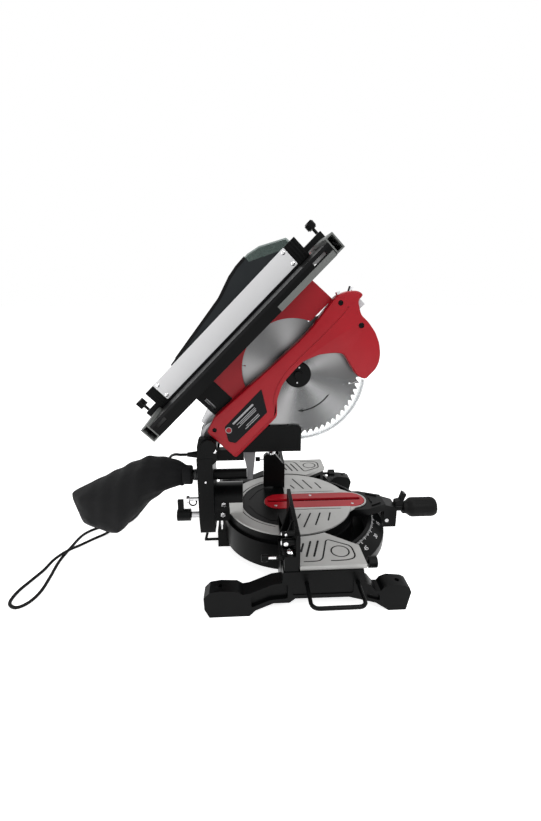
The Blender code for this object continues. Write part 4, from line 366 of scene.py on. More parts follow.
def clear_finish(name, colour, second, alpha):
    made = bpy.data.materials.new(name + "_finish")
    made.use_nodes = True
    tree = made.node_tree
    shader = tree.nodes["Principled BSDF"]
    skin = tree.nodes.new("ShaderNodeGroup")
    skin.node_tree = MOULDED
    for key, value in {"Colour": (*colour, 1), "Worn Colour": (*second, 1), "Patch Scale": 20,
                       "Grain Scale": 500, "Gloss Low": 0.06, "Gloss High": 0.14}.items():
        skin.inputs[key].default_value = value
    tree.links.new(skin.outputs["Colour"], shader.inputs["Base Color"])
    tree.links.new(skin.outputs["Roughness"], shader.inputs["Roughness"])
    shader.inputs["Transmission Weight"].default_value = 0.9
    shader.inputs["IOR"].default_value = 1.2
    shader.inputs["Alpha"].default_value = alpha
    return made


FINISHES["clear_guard"] = clear_finish("clear_guard", (0.80, 0.83, 0.84), (0.70, 0.74, 0.75), 0.13)
FINISHES["clear_window"] = clear_finish("clear_window", (0.16, 0.20, 0.185), (0.12, 0.16, 0.15), 0.80)
FINISHES["guard_rim"] = clear_finish("guard_rim", (0.36, 0.38, 0.39), (0.28, 0.30, 0.31), 0.55)


def fabric_finish():
    """A close plain weave from two sets of threads, over soft creases, with painted shade that darkens their hollows.
    """
    made = bpy.data.materials.new("bag_fabric_finish")
    made.use_nodes = True
    tree = made.node_tree
    shader = tree.nodes["Principled BSDF"]
    place = object_coordinates(tree)
    threads = []
    for turn in ((0, 0, 0.6), (0, 0, 0.6 + math.pi / 2)):
        mapping = tree.nodes.new("ShaderNodeMapping")
        mapping.inputs["Rotation"].default_value = (0.5, 0.3, turn[2])
        tree.links.new(place, mapping.inputs["Vector"])
        wave = tree.nodes.new("ShaderNodeTexWave")
        wave.inputs["Scale"].default_value = 420
        wave.inputs["Distortion"].default_value = 0.4
        tree.links.new(mapping.outputs["Vector"], wave.inputs["Vector"])
        threads.append(wave.outputs["Fac"])
    weave = math_node(tree, "MULTIPLY", threads[0], threads[1])
    creases = noise(tree, place, 30, 4.0, 0.55)
    height = math_node(tree, "MULTIPLY_ADD", creases, 2.0, weave)
    # The colour follows the weave and crease height, darker where they run low: painted shade in the hollows.
    tone = mix_colour(tree, math_node(tree, "MULTIPLY_ADD", weave, 0.5, math_node(tree, "MULTIPLY", creases, 0.5)),
                      (0.0035, 0.0036, 0.004, 1), (0.011, 0.0112, 0.012, 1))
    tree.links.new(tone, shader.inputs["Base Color"])
    tree.links.new(math_node(tree, "MULTIPLY_ADD", weave, -0.2, 0.85), shader.inputs["Roughness"])
    relief = tree.nodes.new("ShaderNodeBump")
    relief.inputs["Strength"].default_value = 0.5
    relief.inputs["Distance"].default_value = 0.0006
    tree.links.new(height, relief.inputs["Height"])
    tree.links.new(relief.outputs["Normal"], shader.inputs["Normal"])
    shader.inputs["Specular IOR Level"].default_value = 0.15
    shader.inputs["Sheen Weight"].default_value = 0.03
    shader.inputs["Sheen Roughness"].default_value = 0.5
    return made


FINISHES["bag_fabric"] = fabric_finish()


# ---- Making pieces ----

def dress(piece, colour, body, replaced=()):
    piece.data.materials.clear()
    piece.data.materials.append(FINISHES[colour])
    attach(piece, body)
    if replaced:
        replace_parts(piece, *replaced)
    return piece


def piece_of(name, mesh, colour, body, replaced=(), edge=0.0006, segments=2, angle=30, place=None, smooth=True):
    """Turns a bmesh into a finished piece. place moves it from the drawing into the row frame."""
    bmesh.ops.remove_doubles(mesh, verts=mesh.verts, dist=1e-6)
    if place is not None:
        bmesh.ops.transform(mesh, matrix=place, verts=mesh.verts)
    bmesh.ops.recalc_face_normals(mesh, faces=mesh.faces)
    for line in mesh.edges:
        line.smooth = len(line.link_faces) == 2 and line.calc_face_angle(0) < math.radians(angle)
    for face in mesh.faces:
        face.smooth = smooth
    data = bpy.data.meshes.new(name)
    mesh.to_mesh(data)
    mesh.free()
    piece = bpy.data.objects.new(name, data)
    bpy.context.scene.collection.objects.link(piece)
    if edge:
        rounding = piece.modifiers.new("soft_edges", "BEVEL")
        rounding.width = edge
        rounding.segments = segments
        rounding.limit_method = "ANGLE"
        rounding.angle_limit = math.radians(angle)
        rounding.harden_normals = True
    return dress(piece, colour, body, replaced)


def soften(node, edge, colour=None, name=None, segments=2, angle=30):
    """A smoother copy of a CAD node, with its edges broken."""
    source = NODES[node]
    mesh = bmesh.new()
    mesh.from_mesh(source.data)
    bmesh.ops.remove_doubles(mesh, verts=mesh.verts, dist=1e-6)
    bmesh.ops.dissolve_limit(mesh, angle_limit=math.radians(1.0), verts=mesh.verts, edges=mesh.edges)
    return piece_of(name or node + "_skin", mesh, colour or source.data.materials[0].name, body_of(source)[0], (node,), edge,
                    segments, angle)


# ---- Shapes ----

def flat(outline, axis, at):
    """One face of the outline's points. The outline is (y, z) for axis X, (x, z) for Y and (x, y) for Z."""
    mesh = bmesh.new()
    spots = {"X": lambda u, v: (at, u, v), "Y": lambda u, v: (u, at, v), "Z": lambda u, v: (u, v, at)}[axis]
    mesh.faces.new([mesh.verts.new(spots(u, v)) for u, v in outline])
    return mesh


def prism(outline, axis, low, high):
    mesh = flat(outline, axis, low)
    grown = bmesh.ops.extrude_face_region(mesh, geom=mesh.faces[:])
    raised = [item for item in grown["geom"] if isinstance(item, bmesh.types.BMVert)]
    step = [0, 0, 0]
    step["XYZ".index(axis)] = high - low
    bmesh.ops.translate(mesh, verts=raised, vec=step)
    bmesh.ops.recalc_face_normals(mesh, faces=mesh.faces)
    return mesh


def block(low, high):
    low, high = Vector(low), Vector(high)
    mesh = bmesh.new()
    bmesh.ops.create_cube(mesh, size=1, matrix=Matrix.Translation((low + high) / 2) @ Matrix.Diagonal((*(high - low), 1)))
    return mesh


def bar(a, b, radius, sides=24, end_radius=None):
    a, b = Vector(a), Vector(b)
    mesh = bmesh.new()
    place = Matrix.Translation((a + b) / 2) @ (b - a).to_track_quat("Z", "Y").to_matrix().to_4x4()
    bmesh.ops.create_cone(mesh, cap_ends=True, segments=sides, radius1=radius,
                          radius2=radius if end_radius is None else end_radius, depth=(b - a).length, matrix=place)
    return mesh


def turned(profile, centre, axis, steps=32):
    """Spins a profile of (radius, height) round the axis through centre."""
    mesh = bmesh.new()
    across = {"X": (1, 2, 0), "Y": (0, 2, 1), "Z": (0, 1, 2)}[axis]
    line = []
    for radius, height in profile:
        spot = list(centre)
        spot[across[0]] += radius
        spot[across[2]] += height
        line.append(mesh.verts.new(spot))
    edges = [mesh.edges.new(pair) for pair in zip(line, line[1:])]
    turn = [0, 0, 0]
    turn["XYZ".index(axis)] = 1
    bmesh.ops.spin(mesh, geom=line + edges, cent=centre, axis=turn, angle=2 * math.pi, steps=steps, use_merge=True)
    bmesh.ops.remove_doubles(mesh, verts=mesh.verts, dist=1e-6)
    bmesh.ops.recalc_face_normals(mesh, faces=mesh.faces)
    return mesh


def bent_bar(points, radius, sides=10, closed=False):
    """A round wire through the points."""
    data = bpy.data.curves.new("wire", "CURVE")
    data.dimensions = "3D"
    data.bevel_depth = radius
    data.bevel_resolution = max(1, sides // 4 - 1)
    data.use_fill_caps = True
    spline = data.splines.new("POLY")
    spline.points.add(len(points) - 1)
    for point, place in zip(spline.points, points):
        point.co = (*place, 1)
    spline.use_cyclic_u = closed
    holder = bpy.data.objects.new("wire", data)
    bpy.context.scene.collection.objects.link(holder)
    mesh = bmesh.new()
    mesh.from_mesh(holder.to_mesh())
    holder.to_mesh_clear()
    bpy.data.objects.remove(holder)
    bpy.data.curves.remove(data)
    bmesh.ops.remove_doubles(mesh, verts=mesh.verts, dist=1e-6)
    return mesh


def joined(meshes):
    together = bmesh.new()
    for mesh in meshes:
        holder = bpy.data.meshes.new("part")
        mesh.to_mesh(holder)
        mesh.free()
        together.from_mesh(holder)
        bpy.data.meshes.remove(holder)
    return together


def carved(mesh, cutters, operation="DIFFERENCE"):
    """The mesh with the cutters taken out of it, or added to it."""
    holders = []
    for shape in [mesh] + cutters:
        data = bpy.data.meshes.new("blank")
        shape.to_mesh(data)
        shape.free()
        holder = bpy.data.objects.new("blank", data)
        bpy.context.scene.collection.objects.link(holder)
        holders.append(holder)
    for cutter in holders[1:]:
        step = holders[0].modifiers.new("cut", "BOOLEAN")
        step.object = cutter
        step.operation = operation
        step.solver = "EXACT"
    bpy.context.view_layer.update()
    result = bmesh.new()
    result.from_object(holders[0], bpy.context.evaluated_depsgraph_get())
    for holder in holders:
        data = holder.data
        bpy.data.objects.remove(holder)
        bpy.data.meshes.remove(data)
    bmesh.ops.dissolve_limit(result, angle_limit=math.radians(0.5), verts=result.verts, edges=result.edges)
    return result


def arc(centre, radius, start, end, steps):
    """Points in degrees from start to end, both included."""
    turns = [math.radians(start + (end - start) * i / steps) for i in range(steps + 1)]
    return [(centre[0] + radius * math.cos(t), centre[1] + radius * math.sin(t)) for t in turns]


def rounded(outline, radius, steps=3):
    """The outline with each corner rounded, by less where an edge is short."""
    spots = [Vector(p) for p in outline]
    result = []
    for i, here in enumerate(spots):
        before, after = spots[i - 1], spots[(i + 1) % len(spots)]
        into, out = before - here, after - here
        reach = min(radius, 0.45 * into.length, 0.45 * out.length)
        start, end = here + into.normalized() * reach, here + out.normalized() * reach
        for step in range(steps + 1):
            t = step / steps
            result.append(tuple(start * (1 - t) ** 2 + here * 2 * t * (1 - t) + end * t ** 2))
    return result


def mm(*points):
    return [tuple(value / 1000 for value in point) for point in points]


def groove(path, width, axis, low, high):
    """A cutter that follows a path across a face, with round ends."""
    spots = [Vector(p) for p in path]
    left, right = [], []
    for i, here in enumerate(spots):
        way = (spots[min(i + 1, len(spots) - 1)] - spots[max(i - 1, 0)]).normalized()
        side = Vector((-way.y, way.x)) * width / 2
        left.append(tuple(here + side))
        right.append(tuple(here - side))
    return prism(left + right[::-1], axis, low, high)


def slot_shape(a, b, width):
    """The outline of a slot with round ends from a to b."""
    a, b = Vector(a), Vector(b)
    heading = math.degrees(math.atan2(b.y - a.y, b.x - a.x))
    return arc(a, width / 2, heading + 90, heading + 270, 8) + arc(b, width / 2, heading - 90, heading + 90, 8)


def screw_head(place, axis, radius, height, drive="cross"):
    """A domed screw head that stands on place and points along axis, with its drive cut in."""
    profile = [(0, 0), (radius, 0), (radius, 0.35 * height), (0.8 * radius, 0.75 * height), (0.4 * radius, height), (0, height)]
    head = turned(profile, (0, 0, 0), "Z", 20)
    if drive == "hex":
        cutters = [bar((0, 0, 0.4 * height), (0, 0, 2 * height), 0.5 * radius, 6)]
    else:
        wide, thin = 0.62 * radius, 0.13 * radius
        cutters = [block((-wide, -thin, 0.45 * height), (wide, thin, 2 * height)),
                   block((-thin, -wide, 0.44 * height), (thin, wide, 2 * height))]
    head = carved(head, cutters)
    bmesh.ops.transform(head, matrix=Matrix.Translation(place) @ Vector(axis).to_track_quat("Z", "Y").to_matrix().to_4x4(),
                        verts=head.verts)
    return head


# ---- Blade ----

def around(radius, degrees):
    turn = math.radians(degrees)
    return (ARBOR[0] + radius * math.cos(turn), ARBOR[1] + radius * math.sin(turn))


def add_blade():
    rim, tips = [], []
    for tooth in range(60):
        first = 6 * tooth + 1
        rim += [around(r / 1000, first + d) for r, d in
                ((118.4, 0.0), (119.4, 0.9), (122.0, 2.2), (126.6, 4.0), (127.0, 4.7), (121.5, 4.75), (119.2, 5.2))]
        tips.append(prism([around(r / 1000, first + d) for r, d in
                           ((122.9, 3.9), (127.0, 3.75), (127.5, 4.85), (122.9, 4.85))], "X", -0.0014, 0.0014))
    cutters = [prism(arc(ARBOR, 0.008, 0, 360, 31)[:-1], "X", -0.01, 0.01)]
    for first in (-128, -38, 52, 142):
        path = [around(0.001 * r, first + 3.2 * math.sin((122 - r) / 9)) for r in (122, 119, 116, 113, 110, 107)]
        cutters.append(groove(path, 0.0009, "X", -0.01, 0.01))
        cutters.append(prism(arc(path[-1], 0.0016, 0, 360, 15)[:-1], "X", -0.011, 0.011))
    disc = carved(prism(rim, "X", -0.0010, 0.0010), cutters)
    piece_of("blade_disc", disc, "blade_steel", "blade", ("saw_blade",), edge=0, place=RAISED)
    piece_of("blade_tips", joined(tips), "carbide", "blade", edge=0, place=RAISED)
    arrow = [around(0.0773, d) for d in range(-103, -52, 3)] + [around(0.0743, d) for d in range(-52, -103, -3)]
    head = [around(0.0800, -54), around(0.0757, -45.5), around(0.0715, -54)]
    marks = [prism(arrow, "X", -0.00106, -0.0009), prism(head, "X", -0.00106, -0.0009)]
    piece_of("blade_arrow", joined(marks), "ink_black", "blade", edge=0, place=RAISED)


def add_lower_guard():
    band = prism(arc(ARBOR, 0.1306, 0, 354, 59), "X", -0.06, 0.06)
    sides = carved(copy_of("lower_guard"), [in_row_frame(band)], "INTERSECT")
    rim = carved(copy_of("lower_guard"), [in_row_frame(prism(arc(ARBOR, 0.1306, 0, 354, 59), "X", -0.06, 0.06))])
    piece_of("guard_sides", sides, "clear_guard", "guard", ("lower_guard",), edge=0)
    piece_of("guard_rim", rim, "guard_rim", "guard", edge=0)


def add_flange():
    soften("near_flange", 0.0008, segments=3)
    soften("arbor_bolt", 0.0005, "black_paint")
    pin = [bar((-0.0078, *around(0.0155, d)), (-0.0040, *around(0.0155, d)), 0.0016, 12) for d in (-38, 142)]
    piece_of("flange_pins", joined(pin), "steel", "blade", edge=0.0002, place=RAISED)


# ---- Blade cover ----

COVER = mm((148, 168), (117, 178), (39, 174), (-28, 169), (-104, 166), (-140, 167), (-169, 171), (-198, 175), (-211, 177),
           (-223, 171), (-235, 164), (-244, 154), (-246, 142), (-232, 142), (-219, 119), (-220, 99), (-217, 76),
           (-209, 55), (-197, 38), (-184, 27), (-171, 22), (-145, 21), (-140, 28), (-137, 37), (-147, 89), (-135, 103),
           (-114, 120), (-83, 133), (-62, 133), (-34, 131), (-20, 128), (5, 115), (29, 91), (148, 89), (148, 131))
LABEL = mm((10, 153), (36, 111), (125, 111), (133, 124), (116, 151))


def inset(outline, distance):
    """The outline moved inwards. Its points run anticlockwise or clockwise."""
    spots = [Vector(p) for p in outline]
    area = sum(a.x * b.y - b.x * a.y for a, b in zip(spots, spots[1:] + spots[:1]))
    sign = 1 if area > 0 else -1
    result = []
    for i, here in enumerate(spots):
        into = (here - spots[i - 1]).normalized()
        out = (spots[(i + 1) % len(spots)] - here).normalized()
        first, second = Vector((-into.y, into.x)) * sign, Vector((-out.y, out.x)) * sign
        middle = (first + second).normalized()
        result.append(tuple(here + middle * distance / max(0.5, middle.dot(first))))
    return result


def add_cover():
    face = rounded(COVER, 0.006, 3)
    shell = prism(face, "X", -0.038, -0.016)
    front = [line for line in shell.edges if all(v.co.x < -0.0379 for v in line.verts)]
    bmesh.ops.bevel(shell, geom=front, offset=0.0022, segments=3, profile=0.5, material=-1, affect="EDGES",
                    clamp_overlap=True)
    pocket = prism(inset(rounded(COVER, 0.004, 2), 0.0030), "X", -0.0350, -0.010)
    line = mm((-212, 147), (-190, 144), (-136, 143), (-84, 144), (-43, 143), (-18, 137), (-1, 129), (11, 121), (24, 101),
              (34, 96), (146, 95))
    cutters = [pocket, groove(line, 0.0026, "X", -0.039, -0.0366),
               prism(rounded(LABEL, 0.003), "X", -0.040, -0.0372)]
    for y, z, radius in ((-206, 162, 5.0), (-206, 104, 5.4), (134, 160, 4.6)):
        cutters.append(bar((-0.040, y / 1000, z / 1000), (-0.0362, y / 1000, z / 1000), radius / 1000, 20))
    shell = carved(shell, cutters)
    piece_of("cover_shell", shell, "red_plastic", "head", ("blade_cover",), edge=0.0004, place=RAISED)
    inside = [prism(inset(rounded(LABEL, 0.003), 0.0006), "X", -0.0379, -0.0371)]
    piece_of("cover_plate", joined(inside), "label_black", "head", edge=0.0002, place=RAISED)
    rim = carved(prism(inset(rounded(LABEL, 0.003), 0.0022), "X", -0.0380, -0.0376),
                 [prism(inset(rounded(LABEL, 0.003), 0.0027), "X", -0.040, -0.030)])
    piece_of("cover_plate_line", rim, "print_grey", "head", edge=0, place=RAISED)
    lines = [block((-0.0381, y / 1000, z / 1000), (-0.0378, (y + length) / 1000, (z + wide) / 1000))
             for y, z, length, wide in ((44, 141, 56, 3.6), (46, 135.5, 50, 1.2), (46, 132.5, 44, 1.2), (48, 129.5, 50, 1.2),
                                        (50, 121, 34, 1.4), (50, 117.5, 40, 1.4))]
    lines.append(turned([(0.0052, -0.0381), (0.0064, -0.0381), (0.0064, -0.0378), (0.0052, -0.0378), (0.0052, -0.0381)],
                        (0, 0.1150, 0.1400), "X", 32))
    piece_of("cover_plate_print", joined(lines), "print_grey", "head", edge=0, place=RAISED)
    dot = bar((-0.0381, 0.1150, 0.1400), (-0.0378, 0.1150, 0.1400), 0.0050, 32)
    piece_of("cover_plate_dot", dot, "red_plastic", "head", edge=0, place=RAISED)
    bolts = [screw_head((-0.0364, y / 1000, z / 1000), (-1, 0, 0), radius / 1000, 0.0012, "hex")
             for y, z, radius in ((-206, 162, 4.7), (-206, 104, 5.1), (134, 160, 4.3))]
    piece_of("cover_bolts", joined(bolts), "black_plastic", "head", edge=0, place=RAISED)
    lugs = [bar((-0.031, -0.2400, 0.1690), (-0.031, -0.2310, 0.1640), 0.0042, 16),
            bar((-0.0300, -0.2160, 0.1800), (-0.0300, -0.2130, 0.1720), 0.0045, 6)]
    piece_of("cover_lugs", joined(lugs), "chrome", "head", edge=0.0003, place=RAISED)


# ---- Upper table ----

def copy_of(node):
    mesh = bmesh.new()
    mesh.from_mesh(NODES[node].data)
    bmesh.ops.remove_doubles(mesh, verts=mesh.verts, dist=1e-6)
    bmesh.ops.dissolve_limit(mesh, angle_limit=math.radians(1.0), verts=mesh.verts, edges=mesh.edges)
    return mesh


def in_row_frame(mesh):
    bmesh.ops.transform(mesh, matrix=RAISED, verts=mesh.verts)
    return mesh


def add_upper_table():
    cutters = []
    for low, high in ((-0.224, -0.199), (0.141, 0.162)):
        for x in (-0.150, 0.150):
            cutters.append(block((x - 0.008, low, 0.2505), (x + 0.008, high, 0.2558)))
    for i in range(-10, 11):
        if abs(i) > 1:
            x = i * 0.0132
            cutters.append(block((x - 0.0014, -0.234, 0.2610), (x + 0.0014, 0.168, 0.2630)))
    table = carved(copy_of("upper_table"), [in_row_frame(cutter) for cutter in cutters])
    piece_of("upper_table_top", table, "black_paint", "saw_table", ("upper_table",), edge=0.0005)
    # The side walls' light grey is laid on their front half only, where light falls on them; the rear half keeps the
    # table's black as painted shade.
    lit_strips = [block((x, -0.2345, 0.2380), (x + 0.0012, -0.116, 0.2482)) for x in (-0.1509, 0.1497)]
    piece_of("table_side_lit_strips", joined(lit_strips), "rail_grey", "saw_table", edge=0.0003, place=RAISED)
    lips = [block((x, -0.2345, 0.2565), (x + 0.0009, 0.1700, 0.2620)) for x in (-0.1508, 0.1499)]
    piece_of("table_side_lips", joined(lips), "gloss_black", "saw_table", edge=0.0003, place=RAISED)
    insert = carved(prism(slot_shape((0, -0.208), (0, 0.140), 0.052), "Z", 0.2612, 0.2628),
                    [block((-0.0036, -0.199, 0.25), (0.0036, 0.135, 0.27))])
    piece_of("table_insert", insert, "red_plastic", "saw_table", edge=0.0003, place=RAISED)
    screws = [screw_head((x, y, 0.2628), (0, 0, 1), 0.0035, 0.0009) for x, y in ((-0.017, -0.2), (0.017, -0.2), (0, 0.150))]
    piece_of("table_insert_screws", joined(screws), "steel", "saw_table", edge=0, place=RAISED)
    for name in ("front_guide_rail", "rear_guide_rail"):
        soften(name, 0.0005, "rail_grey")
    hooks = []
    for low in (-0.2485, 0.1735):
        for x in (-0.1495, 0.1495):
            start, end = sorted((x, x * 0.6))
            hooks.append(block((start, low + 0.0028, 0.2500), (end, low + 0.0072, 0.2518)))
            hooks.append(block((start, low + 0.0060, 0.2500), (end, low + 0.0072, 0.2570)))
    piece_of("rail_hooks", joined(hooks), "black_paint", "saw_table", edge=0.0002, place=RAISED)
    soften("height_guide", 0.0004)
    soften("table_skirt", 0.0006)


# ---- Rip fence and upper guard ----

def add_rip_fence():
    soften("rip_fence", 0.0006, "gloss_black")
    plate = prism(rounded(mm((-196, 267), (147, 267), (147, 304), (-196, 304)), 0.0015), "X", -0.0466, -0.0450)
    piece_of("fence_plate", plate, "fence_white", "rip", edge=0.0004, place=RAISED)
    screws = [screw_head((-0.0466, y / 1000, z / 1000), (-1, 0, 0), 0.0036, 0.0014)
              for y, z in ((-190, 298), (140, 298), (142, 274), (-190, 273))]
    piece_of("fence_screws", joined(screws), "chrome", "rip", edge=0, place=RAISED)
    for node, low, high in (("front_fence_cap", -0.222, -0.198), ("rear_fence_cap", 0.149, 0.177)):
        soften(node, 0.0008)
        ribs = [block((-0.0462, low + 0.003 + i * 0.006, 0.2640), (-0.0218, low + 0.0055 + i * 0.006, 0.3035))
                for i in range(3)]
        piece_of(node + "_ribs", joined(ribs), "black_plastic", "rip", edge=0.0005, place=RAISED)
    for node in ("front_fence_knob", "rear_fence_knob"):
        soften(node, 0.0012, segments=3)


def add_upper_guard():
    boundary = mm((-139, 348), (-139, 331), (-190, 306), (-190, 260), (-260, 260), (-260, 348))
    window = carved(copy_of("upper_guard"), [in_row_frame(prism(boundary, "X", -0.02, 0.02))], "INTERSECT")
    shell = carved(copy_of("upper_guard"), [in_row_frame(prism(boundary, "X", -0.02, 0.02))])
    piece_of("guard_window", window, "clear_window", "top_guard", edge=0.0003)
    piece_of("guard_shell", shell, "slate_shell", "top_guard", ("upper_guard",), edge=0.0005)
    spine = prism(mm((86, 304), (86, 309.6), (-52, 327.2), (-60, 329.5), (-94, 340), (-116, 343.5), (-139, 344.2),
                     (-139, 339), (-116, 338), (-94, 334), (-60, 323.5), (-50, 321.5)), "X", -0.0150, 0.0150)
    spine = carved(spine, [prism(mm((112, 270), (103.5, 306.6), (-52, 326.4), (-58.5, 328.3), (-94, 338.8), (-113, 342.0),
                                    (-141, 342.8), (-146, 270)), "X", -0.0141, 0.0141)])
    piece_of("guard_spine", spine, "gloss_black", "top_guard", edge=0.0008, place=RAISED)
    bolt = [screw_head((side * 0.0142, 0.0985, 0.2925), (side, 0, 0), 0.0055, 0.0025, "hex") for side in (-1, 1)]
    piece_of("guard_hinge_bolts", joined(bolt), "steel", "top_guard", edge=0, place=RAISED)


# ---- Turntable, wings and scale ----

def drawn(mesh):
    bmesh.ops.transform(mesh, matrix=DRAWN, verts=mesh.verts)
    return mesh


def mirrored(outline):
    return [(-x, y) for x, y in outline]


def add_turntable():
    marks = [slot_shape(a, b, 0.0034) for a, b in (
        mm((-56, -39), (-107, -19)), mm((-56, -59), (-100, -43)), mm((-56, -80), (-85, -71)), mm((-58, -18), (-74, -11)))]
    marks += [mirrored(mark) for mark in marks] + [slot_shape(*mm((x, -6), (x, -106)), 0.0022) for x in (-39, 39)]
    ring = [slot_shape(arc((0, 0), 0.1085, d, d, 1)[0], arc((0, 0), 0.1085, d + 8, d + 8, 1)[0], 0.0024)
            for d in list(range(112, 160, 8)) + list(range(20, 68, 8))]
    pocket = arc((0, 0), 0.1030, 4, 176, 40)
    cutters = [prism(mark, "Z", -0.0014 - 0.00001 * i, 0.001) for i, mark in enumerate(marks + ring)]
    cutters.append(prism(pocket, "Z", -0.0019, 0.001))
    disc = arc((0, 0), 0.1345, 0, 354, 59)
    lid = carved(copy_of("turntable"), [drawn(prism(disc, "Z", -0.0028, 0.02))], "INTERSECT")
    lid = carved(lid, [drawn(cutter) for cutter in cutters])
    piece_of("turntable_top", lid, "silver_paint", "table", ("turntable",), edge=0.0003)
    body = carved(copy_of("turntable"), [drawn(prism(disc, "Z", -0.0028, 0.02))])
    piece_of("turntable_body", body, "black_paint", "table", edge=0.0007)
    fills = [prism(mark, "Z", -0.0019, -0.0007) for mark in marks + ring]
    piece_of("turntable_slots", joined(fills), "ink_black", "table", edge=0, place=DRAWN)
    floor = carved(prism(inset(pocket, 0.0002), "Z", -0.0024, -0.0015), [
        prism(arc((0, 0.023), 0.0314, 0, 180, 16) + mm((-31.4, -10), (31.4, -10)), "Z", -0.01, 0.01)])
    facets = [groove(mm((side * 82, 11), (side * 76, 44), (side * 48, 70), (side * 14, 86)), 0.0026, "Z", -0.0024, -0.0007)
              for side in (-1, 1)]
    spokes = [groove([(side * 0.045, 0.040), (side * 0.075, 0.043)], 0.0022, "Z", -0.0024, -0.0009) for side in (-1, 1)]
    piece_of("turntable_pocket", joined([floor] + facets + spokes), "black_paint", "table", edge=0, place=DRAWN)
    plate = carved(prism(mm((54, -115), (-54, -115), (-52, -121.5)) + arc((0, -0.1355), 0.0347, 190, 350, 24)
                         + mm((52, -121.5)), "Z", -0.0031, -0.0006),
                   [prism(arc((0, -0.135), 0.0314, 180, 360, 16) + mm((31.4, -100), (-31.4, -100)), "Z", -0.01, 0.01),
                    prism(arc((0, 0), 0.1332, 180, 360, 64), "Z", -0.02, 0.02)])
    piece_of("arm_plate", plate, "silver_paint", "table", edge=0.0005, place=DRAWN)
    ribs = [prism(slot_shape(*mm((x, -178), (x * 0.6, -198)), 0.003), "Z", -0.0040, -0.0006) for x in (-26, 26)]
    ribs.append(prism(slot_shape(*mm((-12, -180), (12, -180)), 0.003), "Z", -0.0040, -0.0006))
    piece_of("arm_ribs", joined(ribs), "black_paint", "table", edge=0.0004, place=DRAWN)
    pointer = [bar((-0.0228, -0.2140, -0.0430), (-0.0218, -0.2140, -0.0430), 0.0042, 24),
               block((-0.0012, -0.2070, -0.0420), (0.0012, -0.2062, -0.0250))]
    piece_of("arm_pointer", joined(pointer), "fence_white", "table", edge=0.0002, place=DRAWN)
    soften("kerf_insert", 0.0006)
    screws = [screw_head((x, y, 0), (0, 0, 1), 0.0032, 0.0008) for x, y in ((-0.02, 0.030), (-0.02, -0.136), (0.022, -0.05))]
    piece_of("insert_screws", joined(screws), "steel", "table", edge=0, place=DRAWN)


def add_wings():
    marks = [slot_shape(a, b, 0.0038) for a, b in (
        mm((-162, -10), (-186, -3)), mm((-156, -24), (-200, -11)), mm((-155, -38), (-200, -24)))]
    frame_line = mm((-213, -47), (-214, -60), (-213, -80), (-209, -92), (-200, -96), (-178, -95), (-171, -91), (-152, -58),
                    (-154, -53), (-206, -38), (-213, -32), (-214, -20), (-214, 0))
    for side, node in ((1, "left_wing_plate"), (-1, "right_wing_plate")):
        shapes = [[(side * x, y) for x, y in mark] for mark in marks]
        line = [(side * x, y) for x, y in rounded(frame_line, 0.004, 2)[2:-2]]
        cutters = [prism(shape, "Z", -0.0014, 0.001) for shape in shapes] + [groove(line, 0.0030, "Z", -0.00142, 0.001)]
        badge = turned([(0.0143, -0.00144), (0.0170, -0.00144), (0.0170, 0.001), (0.0143, 0.001), (0.0143, -0.00144)],
                       (side * -0.188, -0.072, 0), "Z", 48)
        fills = [prism(shape, "Z", -0.0018, -0.0006) for shape in shapes] + [groove(line, 0.0030, "Z", -0.0018, -0.00058)]
        fills.append(turned([(0.0142, -0.0018), (0.0171, -0.0018), (0.0171, -0.0006), (0.0142, -0.0006),
                             (0.0142, -0.0018)], (side * -0.188, -0.072, 0), "Z", 48))
        wing = carved(copy_of(node), [drawn(cutter) for cutter in cutters + [badge]])
        piece_of(node + "_skin", wing, "silver_paint", "base", (node,), edge=0.0004)
        piece_of(node + "_lines", joined(fills), "ink_black", "base", edge=0, place=DRAWN)


def on_scale(mesh, degrees, reach):
    """Moves a mark drawn flat at the origin onto the scale's sloping face."""
    lean = math.atan2(22, 29)
    spot = Vector((0, -0.175 - reach * math.cos(lean), -0.0199 - reach * math.sin(lean)))
    bmesh.ops.transform(mesh, verts=mesh.verts, matrix=DRAWN @ Matrix.Rotation(math.radians(degrees), 4, "Z")
                        @ Matrix.Translation(spot) @ Matrix.Rotation(lean, 4, "X"))
    return mesh


def figure(text, size):
    data = bpy.data.curves.new("figure", "FONT")
    data.body = text
    data.size = size
    data.align_x = data.align_y = "CENTER"
    data.extrude = 0.00012
    holder = bpy.data.objects.new("figure", data)
    bpy.context.scene.collection.objects.link(holder)
    mesh = bmesh.new()
    mesh.from_mesh(holder.to_mesh())
    holder.to_mesh_clear()
    bpy.data.objects.remove(holder)
    bpy.data.curves.remove(data)
    return mesh


def add_scale():
    soften("mitre_scale", 0.0008)
    marks = []
    for degrees in range(-50, 51):
        long = 0.0075 if degrees % 15 == 0 else 0.0055 if degrees % 5 == 0 else 0.0035
        wide = 0.0006 if degrees % 5 == 0 else 0.0003
        marks.append(on_scale(block((-wide, -long, -0.0001), (wide, 0, 0.00015)), degrees, 0.0035))
    for degrees in range(-45, 46, 15):
        marks.append(on_scale(figure(str(abs(degrees)), 0.0115), degrees, 0.0215))
    piece_of("scale_marks", joined(marks), "fence_white", "base", edge=0)


# ---- Base, fences and rods ----

